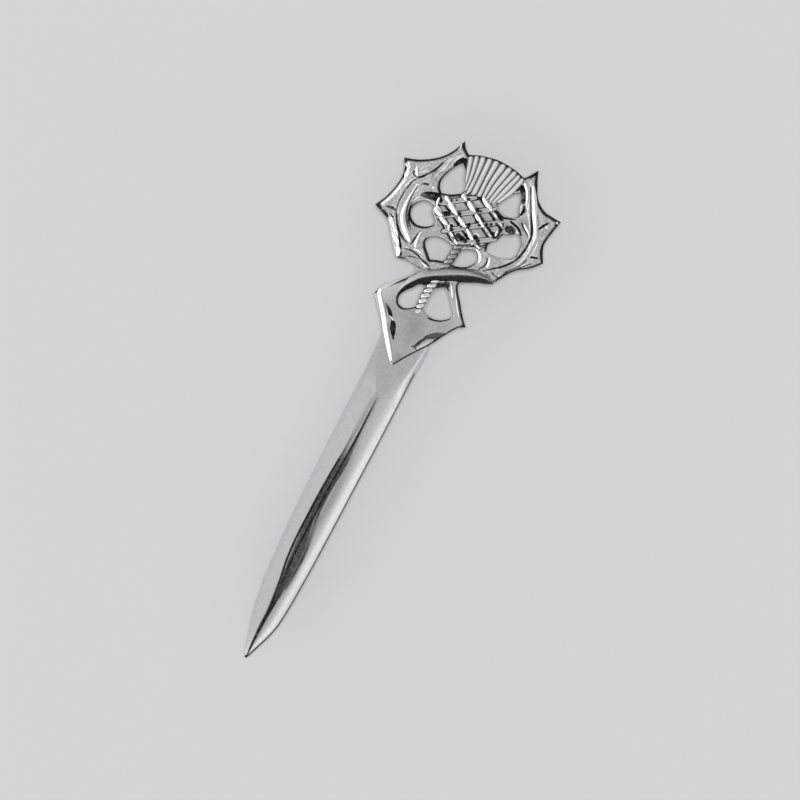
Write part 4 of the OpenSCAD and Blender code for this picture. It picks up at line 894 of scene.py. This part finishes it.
def blade_object(name):
    """The blade as rings of points from its tip to the hilt."""
    places, shade = [], []
    rows = open_line(BLADE, 0.3)
    for y, wide_l, wide_r, crest_l, crest_r, share in rows:
        wide_l, wide_r = max(wide_l, 0.03), max(wide_r, 0.03)
        crest_l, crest_r = min(max(crest_l, 0.01), wide_l * 0.9), min(max(crest_r, 0.01), wide_r * 0.9)
        x, z = blade_ring(wide_l, wide_r, crest_l, crest_r, EDGE_T + (RIDGE_T - EDGE_T) * share).T
        places.append(np.column_stack([x, np.full(len(x), y), z]))
        # Painted shade on the blade's lower sides
        under = np.where(z <= EDGE_T * 0.4, 0.35, 0)
        shade.append(np.maximum(blade_reflection_shade(x, y, wide_r, crest_l, crest_r), under))
    places, shade = np.concatenate(places), np.concatenate(shade)
    # The painted dark reflection along the blade's upper faces
    streaks = strokes(places[:, :2], BLADE_STREAKS, straight_sides)
    streaks = np.maximum(streaks, strokes(places[:, :2], BLADE_SHADES, soft))
    shade = np.maximum(shade, np.where(places[:, 2] > EDGE_T, streaks, 0))
    return solid(name, in_frame(places), ring_faces(len(rows), len(places) // len(rows)), shade, 30)


def boss_object(name):
    """The uneven bead beside the bulb, mottled black by a painted dark reflection."""
    x, y, wide, tall = BOSS
    places = []
    for high, reach in BOSS_RINGS:
        for k in range(BOSS_SIDES):
            turn = 2 * math.pi * k / BOSS_SIDES
            places.append((x + wide / 2 * reach * math.cos(turn) * (1 + 0.1 * math.sin(2.1 * k)),
                           y + tall / 2 * reach * math.sin(turn) * (1 + 0.08 * math.sin(3.3 * k)),
                           LEAF_T - 0.25 + 0.6 * high * (1 + 0.22 * math.sin(2.6 * k + 4 * reach))))
    dark_reflection = 0.88 + 0.12 * np.sin(1.7 * np.arange(len(places)) ** 1.3)
    return solid(name, in_frame(places), ring_faces(len(BOSS_RINGS), BOSS_SIDES), dark_reflection)


def add(tree, kind, inputs=None, **settings):
    """A new node with its settings and its inputs, each a value or another node's output."""
    node = tree.nodes.new(kind)
    for name, value in settings.items():
        setattr(node, name, value)
    for place, value in (inputs or {}).items():
        if isinstance(value, bpy.types.NodeSocket):
            tree.links.new(value, node.inputs[place])
        else:
            node.inputs[place].default_value = value
    return node


def put(tree, kind, inputs=None, **settings):
    """The first output of a new node."""
    return add(tree, kind, inputs, **settings).outputs[0]


def maths(tree, operation, *values, clamp=False):
    """The result of an operation on values or other nodes' outputs."""
    return put(tree, "ShaderNodeMath", dict(enumerate(values)), operation=operation, use_clamp=clamp)


def named(tree, name):
    """The number that the input's points carry under a name."""
    node = add(tree, "GeometryNodeInputNamedAttribute", {"Name": name}, data_type="FLOAT")
    return node.outputs["Attribute"]


def tree_named(name, inputs):
    """The tree of this name, and the outputs of its inputs' node, or None where the tree was there already.

    Each input is a kind and a default.
    """
    tree = bpy.data.node_groups.get(name)
    if tree:
        return tree, None
    tree = bpy.data.node_groups.new(name, "GeometryNodeTree")
    tree.interface.new_socket(name="Geometry", in_out="INPUT", socket_type="NodeSocketGeometry")
    for label, (kind, default) in inputs.items():
        item = tree.interface.new_socket(name=label, in_out="INPUT", socket_type="NodeSocket" + kind)
        if default is not None:
            item.default_value = default
    tree.interface.new_socket(name="Geometry", in_out="OUTPUT", socket_type="NodeSocketGeometry")
    return tree, tree.nodes.new("NodeGroupInput").outputs


def curve_of(tree, start):
    """The input's lines as smooth curves in even steps."""
    curve = put(tree, "GeometryNodeMeshToCurve", {"Mesh": start["Geometry"]})
    curve = put(tree, "GeometryNodeCurveSplineType", {"Curve": curve}, spline_type="CATMULL_ROM")
    curve = put(tree, "GeometryNodeResampleCurve", {"Curve": curve, "Length": start["Step"]}, mode="LENGTH")
    return put(tree, "GeometryNodeSetCurveNormal", {"Curve": curve}, mode="Z_UP")


def captured(tree, curve, fields):
    """Keeps what fields are on a curve's points before they move, and gives the outputs that carry them."""
    node = add(tree, "GeometryNodeCaptureAttribute", {"Geometry": curve}, domain="POINT")
    for label, field in fields.items():
        node.capture_items.new("VECTOR" if field.type == "VECTOR" else "FLOAT", label)
    for label, field in fields.items():
        tree.links.new(field, node.inputs[label])
    return node.outputs


def tube(tree, curve, radius, sides):
    """A round tube with closed ends along each curve."""
    curve = put(tree, "GeometryNodeSetCurveRadius", {"Curve": curve, "Radius": radius})
    sizes = {"Resolution": sides, "Radius": 1.0}
    circle = put(tree, "GeometryNodeCurvePrimitiveCircle", sizes, mode="RADIUS")
    scale = put(tree, "GeometryNodeInputRadius")
    inputs = {"Curve": curve, "Profile Curve": circle, "Fill Caps": True, "Scale": scale}
    return put(tree, "GeometryNodeCurveToMesh", inputs)


def darkened(tree, mesh, tarnish_and_painted_shade):
    """Stores the tarnish and painted shade on a mesh's points."""
    inputs = {"Geometry": mesh, "Name": "tarnish_and_painted_shade", "Value": tarnish_and_painted_shade}
    return put(tree, "GeometryNodeStoreNamedAttribute", inputs, data_type="FLOAT", domain="POINT")


def end(tree, mesh, material):
    """Smooth shading, realized instances and the material, at the end of a tree."""
    mesh = put(tree, "GeometryNodeSetShadeSmooth", {"Geometry": mesh})
    mesh = put(tree, "GeometryNodeRealizeInstances", {"Geometry": mesh})
    mesh = put(tree, "GeometryNodeSetMaterial", {"Geometry": mesh, "Material": material})
    add(tree, "NodeGroupOutput", {"Geometry": mesh})
    return tree


def rib_tree():
    """Sweeps a half-round rib along each line, with the width and height that its points carry."""
    tree, start = tree_named("Swept Rib", {
        "Step": ("Float", 0.00012), "Sides": ("Int", 16),
        "Foot Painted Shade": ("Float", 0.9), "Foot Share": ("Float", 0.38), "Shade": ("Float", 0.0),
        "Ridge": ("Float", 0.0), "Lean": ("Vector", None), "Material": ("Material", None)})
    if start is None:
        return tree
    calc = partial(maths, tree)
    x, y, z = add(tree, "ShaderNodeSeparateXYZ", {0: put(tree, "GeometryNodeInputPosition")}).outputs
    half = calc("MULTIPLY", named(tree, "width"), 0.5)
    kept = captured(tree, curve_of(tree, start), {"Foot": z})
    round_rib = tube(tree, kept["Geometry"], half, start["Sides"])
    # Height above the foot line as a share of the half width: half round, or the straight slopes of a ridge
    half = calc("MAXIMUM", half, 1e-6)
    share = calc("DIVIDE", calc("SUBTRACT", z, kept["Foot"]), half)
    across = calc("SQRT", calc("MAXIMUM", calc("SUBTRACT", 1.0, calc("POWER", share, 2.0)), 0.0))
    straight = calc("SUBTRACT", calc("SUBTRACT", 1.0, across), share)
    straight = calc("MULTIPLY", calc("MULTIPLY", straight, calc("GREATER_THAN", share, 0.0)), start["Ridge"])
    share = calc("ADD", share, straight)
    height = calc("MULTIPLY_ADD", share, named(tree, "rise"), kept["Foot"])
    # The ridge leans to one side, by more the higher it is
    lift = calc("MULTIPLY", calc("MAXIMUM", share, 0.0), half)
    lean = put(tree, "ShaderNodeVectorMath", {0: start["Lean"], "Scale": lift}, operation="SCALE")
    lean_x, lean_y, _ = add(tree, "ShaderNodeSeparateXYZ", {0: lean}).outputs
    spot = {0: calc("ADD", x, lean_x), 1: calc("ADD", y, lean_y), 2: height}
    place = put(tree, "ShaderNodeCombineXYZ", spot)
    # Painted shade at the foot of each rib, where it meets the face
    dark = calc("SUBTRACT", 1.0, calc("DIVIDE", share, start["Foot Share"]), clamp=True)
    dark = calc("MULTIPLY", dark, calc("MULTIPLY", start["Foot Painted Shade"], 1.6), clamp=True)
    mesh = darkened(tree, round_rib, calc("MAXIMUM", dark, start["Shade"]))
    mesh = put(tree, "GeometryNodeSetPosition", {"Geometry": mesh, "Position": place})
    return end(tree, mesh, start["Material"])


def rope_tree():
    """Twists strands round each line, as thick together as the width that its points carry."""
    tree, start = tree_named("Twisted Stem", {
        "Strands": ("Int", 2), "Turns": ("Float", 4.0), "Step": ("Float", 0.0001), "Sides": ("Int", 14),
        "Material": ("Material", None)})
    if start is None:
        return tree
    calc = partial(maths, tree)
    width = named(tree, "width")
    # Each point keeps its own share along, directions and middle before it moves
    kept = captured(tree, curve_of(tree, start), {
        "Share": add(tree, "GeometryNodeSplineParameter").outputs["Factor"],
        "Side": put(tree, "GeometryNodeInputNormal"), "Ahead": put(tree, "GeometryNodeInputTangent"),
        "Middle": put(tree, "GeometryNodeInputPosition")})
    strands = {"Geometry": kept["Geometry"], "Amount": start["Strands"]}
    copies = add(tree, "GeometryNodeDuplicateElements", strands, domain="SPLINE").outputs
    turn = calc("MULTIPLY", kept["Share"], start["Turns"])
    phase = calc("DIVIDE", copies["Duplicate Index"], start["Strands"])
    angle = calc("MULTIPLY", calc("ADD", turn, phase), 2 * math.pi)
    reach = calc("MULTIPLY", width, 0.24)
    across = put(tree, "ShaderNodeVectorMath", {0: kept["Ahead"], 1: kept["Side"]}, operation="CROSS_PRODUCT")
    parts = []
    for operation, way in (("COSINE", kept["Side"]), ("SINE", across)):
        scale = calc("MULTIPLY", calc(operation, angle), reach)
        parts.append(put(tree, "ShaderNodeVectorMath", {0: way, "Scale": scale}, operation="SCALE"))
    offset = put(tree, "ShaderNodeVectorMath", dict(enumerate(parts)))
    curve = put(tree, "GeometryNodeSetPosition", {"Geometry": copies["Geometry"], "Offset": offset})
    mesh = tube(tree, curve, calc("MULTIPLY", width, 0.27), start["Sides"])
    # Painted shade between the strands: near the middle line and below
    here = put(tree, "GeometryNodeInputPosition")
    off = add(tree, "ShaderNodeVectorMath", {0: here, 1: kept["Middle"]}, operation="DISTANCE")
    dark = calc("MULTIPLY_ADD", calc("DIVIDE", off.outputs["Value"], width), -6.0, 2.9, clamp=True)
    mesh = darkened(tree, mesh, calc("MAXIMUM", dark, named(tree, "shade")))
    return end(tree, mesh, start["Material"])


def grown(obj, tree, values):
    """Runs a tree on an object and leaves the result as its plain mesh."""
    modifier = obj.modifiers.new("Grown", "NODES")
    modifier.node_group = tree
    for item in tree.interface.items_tree:
        if item.item_type == "SOCKET" and item.in_out == "INPUT" and item.name in values:
            modifier[item.identifier] = values[item.name]
    bpy.context.view_layer.update()
    result = bpy.data.meshes.new_from_object(obj.evaluated_get(bpy.context.evaluated_depsgraph_get()))
    obj.modifiers.clear()
    line, obj.data = obj.data, result
    bpy.data.meshes.remove(line)
    result.name = obj.name
    if len(result.polygons) == 0:
        raise RuntimeError(f"{obj.name} came out empty")
    return obj


def line_object(name, lines, floor, last="rise"):
    """Lines of x, y, width and height as edges, with both sizes on their points.

    floor gives the height that points lie at. The last number of each row may be a share with another name
    instead of a height.
    """
    rows = np.concatenate([np.array(line, float) for line in lines])
    ends = np.cumsum([len(line) for line in lines])
    places = np.column_stack([rows[:, :2], np.broadcast_to(floor(rows[:, :2]), len(rows))])
    edges = [(i - 1, i) for i in range(1, len(rows)) if i not in ends]
    mesh = bpy.data.meshes.new(name)
    mesh.from_pydata(in_frame(places).tolist(), edges, [])
    store(mesh, "width", rows[:, 2] / PER_METRE)
    store(mesh, last, rows[:, 3] / (PER_METRE if last == "rise" else 1))
    return placed(name, mesh)


def keep(obj, node, material=None):
    """Puts a finished piece on its body in place of its plain node."""
    if material:
        obj.data.materials.clear()
        obj.data.materials.append(material)
    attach(obj, "root")
    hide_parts(node)
    return obj


def keep_ribs(name, lines, floor, values):
    """Makes swept ribs along lines on the casting."""
    ribs = grown(line_object(name, lines, floor), rib_tree(), {"Material": silver(), **values})
    return keep(ribs, "casting")


def block(name, corners, y0, y1, bevel):
    """A block in metres, with the given outline across, from y0 to y1, with rounded edges."""
    bm = bmesh.new()
    spots = [bm.verts.new((x, y, z)) for y in (y0, y1) for x, z in corners]
    for face in ring_faces(2, len(corners)):
        bm.faces.new([spots[i] for i in face])
    bmesh.ops.bevel(bm, geom=bm.edges[:], offset=bevel, offset_type="OFFSET", segments=4, profile=0.6,
                    affect="EDGES", clamp_overlap=True)
    return finished(name, bm)


def needle_object(name, radius):
    """The needle from its tip to the foot that holds it."""
    tip, end_y = BACK_LOW.y, BACK_HIGH.y - FOOT_LONG + 0.0002
    stations = [(tip + off, size) for off, size in NEEDLE_TIP]
    stations += [(tip + 0.00125, radius * 0.96), (tip + 0.0022, radius), (end_y, radius)]
    places = []
    for y, size in stations:
        for k in range(NEEDLE_SIDES):
            turn = 2 * math.pi * k / NEEDLE_SIDES
            places.append((NEEDLE_X + size * math.cos(turn), y, NEEDLE_Z + size * math.sin(turn)))
    return solid(name, np.array(places), ring_faces(len(stations), NEEDLE_SIDES), sharp=60)


def new_material(name):
    """The material of this name, and its empty node tree, or None where the material was there already."""
    found = bpy.data.materials.get(name)
    if found:
        return found, None
    made = bpy.data.materials.new(name)
    made.use_nodes = True
    made.node_tree.nodes.clear()
    return made, made.node_tree


def paint(tree, inputs):
    """Gives a material's surface a Principled shader with these inputs."""
    add(tree, "ShaderNodeOutputMaterial", {"Surface": put(tree, "ShaderNodeBsdfPrincipled", inputs)})


def noise(tree, where, scale, detail):
    """Cloudy noise from 0 to 1."""
    return add(tree, "ShaderNodeTexNoise", {"Vector": where, "Scale": scale, "Detail": detail}).outputs["Fac"]


def mixed(tree, share, first, second):
    """A colour between two."""
    return add(tree, "ShaderNodeMix", {0: share, 6: first, 7: second}, data_type="RGBA").outputs[2]


def bumped(tree, height, strength, distance):
    """The surface's directions with fine bumps."""
    return put(tree, "ShaderNodeBump", {"Strength": strength, "Distance": distance, "Height": height})


def silver():
    """Polished cast metal, darkened by an attribute that holds tarnish together with painted shade and
    painted dark reflections.
    """
    material, tree = new_material("polished_casting")
    if tree is None:
        return material
    finish = bpy.context.scene.kilt_pin_finish
    calc = partial(maths, tree)
    where = add(tree, "ShaderNodeTexCoord").outputs["Object"]
    darkening = add(tree, "ShaderNodeAttribute", attribute_name="tarnish_and_painted_shade").outputs["Fac"]
    cloud, grain = noise(tree, where, 1400.0, 4.0), noise(tree, where, 5200.0, 3.0)
    amount = calc("MULTIPLY_ADD", calc("SUBTRACT", cloud, 0.5), 0.25, darkening)
    # Where the attribute is zero, the clouds add no darkening either
    amount = calc("MULTIPLY", amount, calc("GREATER_THAN", darkening, 0.01))
    amount = calc("ADD", amount, calc("MULTIPLY_ADD", grain, 0.3, -0.15), clamp=True)
    rough = calc("MULTIPLY_ADD", cloud, 0.10, finish.roughness - 0.05)
    paint(tree, {
        "Metallic": 1.0,
        "Base Color": mixed(tree, amount, (*finish.metal, 1), (*finish.tarnish_and_painted_shade, 1)),
        "Roughness": calc("MULTIPLY_ADD", amount, 0.28, rough),
        "Normal": bumped(tree, calc("MULTIPLY_ADD", grain, 0.35, cloud), 0.35, 0.00002),
    })
    return material


def steel():
    """Drawn steel with fine lines along the needle."""
    material, tree = new_material("drawn_steel")
    if tree is None:
        return material
    finish = bpy.context.scene.kilt_pin_finish
    where = add(tree, "ShaderNodeTexCoord").outputs["Object"]
    stretched = put(tree, "ShaderNodeMapping", {"Vector": where, "Scale": (9000.0, 350.0, 9000.0)})
    lines = noise(tree, stretched, 1.0, 3.0)
    dark, light = [c * 0.82 for c in finish.steel], [min(1, c * 1.08) for c in finish.steel]
    paint(tree, {
        "Metallic": 1.0,
        "Base Color": mixed(tree, lines, (*dark, 1), (*light, 1)),
        "Roughness": maths(tree, "MULTIPLY_ADD", lines, 0.18, 0.2),
        "Normal": bumped(tree, lines, 0.25, 0.00001),
    })
    return material


def pale_floor():
    """A plain, dull floor."""
    material, tree = new_material("pale_floor")
    if tree is not None:
        colour = (*bpy.context.scene.kilt_pin_finish.floor, 1)
        paint(tree, {"Base Color": colour, "Roughness": 0.9, "Specular IOR Level": 0.1})
    return material


def ramp(tree, height, stops):
    """Brightness of the studio by height, from rows of height and brightness, very slightly blue."""
    node = add(tree, "ShaderNodeValToRGB", {0: height})
    elements = node.color_ramp.elements
    elements[0].position, elements[1].position = stops[0][0], stops[-1][0]
    for place, _ in stops[1:-1]:
        elements.new(place)
    for element, (_, value) in zip(elements, stops):
        element.color = (value / STUDIO, value / STUDIO, 1.01 * value / STUDIO, 1)
    return node.outputs[0]


def studio():
    """A world that is bright on one side and dark on the other, as the photograph's studio was."""
    world = bpy.data.worlds.new("soft_studio")
    world.use_nodes = True
    tree = world.node_tree
    tree.nodes.clear()
    calc = partial(maths, tree)
    way = add(tree, "ShaderNodeTexCoord").outputs["Generated"]
    x, y, z = add(tree, "ShaderNodeSeparateXYZ", {0: way}).outputs
    facing = calc("MULTIPLY_ADD", y, -0.46, calc("MULTIPLY_ADD", x, -0.24, 0.5), clamp=True)
    colour = mixed(tree, facing, ramp(tree, z, DARK_SIDE), ramp(tree, z, LIT_SIDE))
    light = put(tree, "ShaderNodeBackground", {"Color": colour, "Strength": STUDIO})
    add(tree, "ShaderNodeOutputWorld", {"Surface": light})
    return world


def colour_property(name, description, default):
    return bpy.props.FloatVectorProperty(
        name=name, description=description, default=default, subtype="COLOR", size=3, min=0, max=1)


class KiltPinSizes(bpy.types.PropertyGroup):
    stem_turns: bpy.props.FloatProperty(
        name="Stem turns", description="Full turns of each strand of the stem", default=7.0, min=1, max=12)
    stem_strands: bpy.props.IntProperty(
        name="Stem strands", description="Number of strands in the stem", default=2, min=2, max=4)
    needle: bpy.props.FloatProperty(
        name="Needle", description="Diameter of the needle", default=0.0011, subtype="DISTANCE",
        unit="LENGTH")


class KiltPinFinish(bpy.types.PropertyGroup):
    metal: colour_property("Metal", "Colour of the polished casting", (0.93, 0.93, 0.94))
    # The dark colour serves the tarnish and the painted shade and dark reflections alike
    tarnish_and_painted_shade: colour_property("Tarnish", "Colour of the darkened recesses", (0.022, 0.022, 0.024))
    steel: colour_property("Steel", "Colour of the needle, foot and catch", (0.62, 0.63, 0.65))
    roughness: bpy.props.FloatProperty(
        name="Roughness", description="Roughness of the polished casting", default=0.16, subtype="FACTOR",
        min=0, max=1)
    floor: colour_property("Floor", "Colour of the floor", (0.300, 0.294, 0.307))


class KILTPIN_OT_blade(bpy.types.Operator):
    """Make the blade"""
    bl_idname = "kilt_pin.blade"
    bl_label = "Blade"

    def execute(self, context):
        keep(blade_object("blade"), "casting", silver())
        return {"FINISHED"}


class KILTPIN_OT_hilt(bpy.types.Operator):
    """Make the hilt plate and its raised rims"""
    bl_idname = "kilt_pin.hilt"
    bl_label = "Hilt"

    def execute(self, context):
        keep(plate("hilt", HILT, [HILT_OPENING], hilt_face), "casting", silver())
        keep_ribs("hilt_rims", HILT_RIMS, lambda p: HILT_T - SUNK, {
            "Foot Painted Shade": 0.5, "Foot Share": 0.2, "Ridge": 0.8, "Sides": 32, "Lean": RIDGE_LEAN})
        return {"FINISHED"}


class KILTPIN_OT_leaves(bpy.types.Operator):
    """Make the two thorned leaves and their ribs"""
    bl_idname = "kilt_pin.leaves"
    bl_label = "Leaves"

    def execute(self, context):
        keep(plate("leaves", HEAD, HEAD_OPENINGS, leaf_face), "casting", silver())
        keep(boss_object("boss"), "casting", silver())
        for name, lines in (("left_leaf_ribs", LEFT_LEAF_RIBS), ("right_leaf_ribs", RIGHT_LEAF_RIBS)):
            sized = [[(x, y, RIB_WIDTH * wide, RIB_RISE * rise) for x, y, wide, rise in rows]
                     for rows in lines]
            keep_ribs(name, sized, lambda p: LEAF_T - 0.2 + strokes(p, LEAF_SWELLS, soft), {
                "Foot Painted Shade": 0.5, "Foot Share": 0.2, "Ridge": 1.0, "Sides": 24, "Lean": (0.2, 0.34, 0)})
        return {"FINISHED"}


class KILTPIN_OT_ribbon(bpy.types.Operator):
    """Make the ribbon that crosses above the hilt"""
    bl_idname = "kilt_pin.ribbon"
    bl_label = "Ribbon"

    def execute(self, context):
        keep(ribbon_object("ribbon"), "casting", silver())
        return {"FINISHED"}


class KILTPIN_OT_stem(bpy.types.Operator):
    """Make the twisted stem"""
    bl_idname = "kilt_pin.stem"
    bl_label = "Stem"

    def execute(self, context):
        sizes = context.scene.kilt_pin_sizes
        stem = line_object("stem", [STEM], lambda p: STEM_T, "shade")
        grown(stem, rope_tree(), {
            "Material": silver(), "Strands": sizes.stem_strands, "Turns": sizes.stem_turns})
        keep(stem, "casting")
        return {"FINISHED"}


class KILTPIN_OT_bulb(bpy.types.Operator):
    """Make the thistle's bulb and the bars and drops across it"""
    bl_idname = "kilt_pin.bulb"
    bl_label = "Bulb"

    def execute(self, context):
        def floor(points):
            return bulb_height(points) - SUNK

        keep(plate("bulb", BULB, [], bulb_face), "casting", silver())
        for name, bars, shade in (("falling_bars", FALLING_BARS, 0.5), ("rising_bars", RISING_BARS, 0.25)):
            blacken(keep_ribs(name, bar_lines(bars), floor, {"Foot Share": 0.5, "Shade": shade}).data)
        keep_ribs("drops", drop_lines(), floor, {
            "Foot Share": 0.18, "Ridge": 1.0, "Sides": 32, "Lean": RIDGE_LEAN})
        return {"FINISHED"}


class KILTPIN_OT_tuft(bpy.types.Operator):
    """Make the thistle's ribbed tuft"""
    bl_idname = "kilt_pin.tuft"
    bl_label = "Tuft"

    def execute(self, context):
        # On the tuft the painted shade covers most of each rib's lower part, down into the grooves
        keep_ribs("tuft", tuft_lines(), lambda p: TUFT_T, {
            "Foot Painted Shade": 0.62, "Foot Share": 0.86, "Ridge": 0.8, "Sides": 32, "Lean": (0.25, 0.1, 0)})
        return {"FINISHED"}


class KILTPIN_OT_back(bpy.types.Operator):
    """Make the foot, the needle and the catch behind the casting"""
    bl_idname = "kilt_pin.back"
    bl_label = "Pin Back"

    def execute(self, context):
        low, high = BACK_LOW, BACK_HIGH
        box = [(low.x, low.z), (high.x, low.z), (high.x, high.z), (low.x, high.z)]
        # The catch is open at the left, above its lip and below its roof
        hook = [(low.x, CATCH_ROOF), (NEEDLE_X, CATCH_ROOF), (NEEDLE_X, CATCH_LIP), (low.x, CATCH_LIP)]
        radius = context.scene.kilt_pin_sizes.needle / 2
        foot = block("hinge_foot", box, high.y - FOOT_LONG, high.y, FOOT_BEVEL)
        keep(foot, "pin_back", steel())
        keep(needle_object("needle", radius), "pin_back", steel())
        keep(block("catch", box + hook, *CATCH_ENDS, CATCH_BEVEL), "pin_back", steel())
        return {"FINISHED"}


class KILTPIN_OT_stage(bpy.types.Operator):
    """Make the floor, the light and the camera"""
    bl_idname = "kilt_pin.stage"
    bl_label = "Stage"

    def execute(self, context):
        scene = context.scene
        mesh = bpy.data.meshes.new("floor")
        corners = [(x * FLOOR_HALF, y * FLOOR_HALF, 0) for x, y in ((-1, -1), (1, -1), (1, 1), (-1, 1))]
        mesh.from_pydata(corners, [], [(0, 1, 2, 3)])
        floor = placed("floor", mesh)
        floor.data.materials.append(pale_floor())
        scene.world = studio()

        sun = bpy.data.lights.new("overhead", "SUN")
        sun.energy = 4.6
        sun.angle = math.radians(9)
        placed("overhead", sun).visible_glossy = False

        lens = bpy.data.cameras.new("camera")
        lens.sensor_width = SENSOR
        lens.lens = SENSOR * CAMERA_HIGH / VIEW_WIDE
        lens.clip_start, lens.clip_end = 0.01, 10
        camera = placed("camera", lens)
        camera.location = (*VIEW_MIDDLE, CAMERA_HIGH + LOW.z)
        camera.rotation_euler = (0, 0, math.radians(VIEW_TURN))
        scene.camera = camera
        scene.view_settings.view_transform = "Standard"
        scene.view_settings.look = "None"
        return {"FINISHED"}


class KILTPIN_PT_panel(bpy.types.Panel):
    """Lists the pin's sizes, finish and pieces"""
    bl_idname = "KILTPIN_PT_panel"
    bl_label = "Kilt Pin"
    bl_space_type = "VIEW_3D"
    bl_region_type = "UI"
    bl_category = "Kilt Pin"

    def draw(self, context):
        layout = self.layout
        for group in (context.scene.kilt_pin_sizes, context.scene.kilt_pin_finish):
            for name in group.__annotations__:
                layout.prop(group, name)
        for operator in OPERATORS:
            layout.operator(operator.bl_idname)


OPERATORS = (
    KILTPIN_OT_blade, KILTPIN_OT_hilt, KILTPIN_OT_leaves, KILTPIN_OT_ribbon, KILTPIN_OT_stem,
    KILTPIN_OT_bulb, KILTPIN_OT_tuft, KILTPIN_OT_back, KILTPIN_OT_stage,
)
CLASSES = (KiltPinSizes, KiltPinFinish) + OPERATORS + (KILTPIN_PT_panel,)


def register():
    for item in CLASSES:
        bpy.utils.register_class(item)
    bpy.types.Scene.kilt_pin_sizes = bpy.props.PointerProperty(type=KiltPinSizes)
    bpy.types.Scene.kilt_pin_finish = bpy.props.PointerProperty(type=KiltPinFinish)


def unregister():
    del bpy.types.Scene.kilt_pin_finish
    del bpy.types.Scene.kilt_pin_sizes
    for item in reversed(CLASSES):
        bpy.utils.unregister_class(item)


def main():
    register()
    bpy.ops.kilt_pin.blade()
    bpy.ops.kilt_pin.hilt()
    bpy.ops.kilt_pin.leaves()
    bpy.ops.kilt_pin.ribbon()
    bpy.ops.kilt_pin.stem()
    bpy.ops.kilt_pin.bulb()
    bpy.ops.kilt_pin.tuft()
    bpy.ops.kilt_pin.back()
    bpy.ops.kilt_pin.stage()


if __name__ == "__main__":
    main()
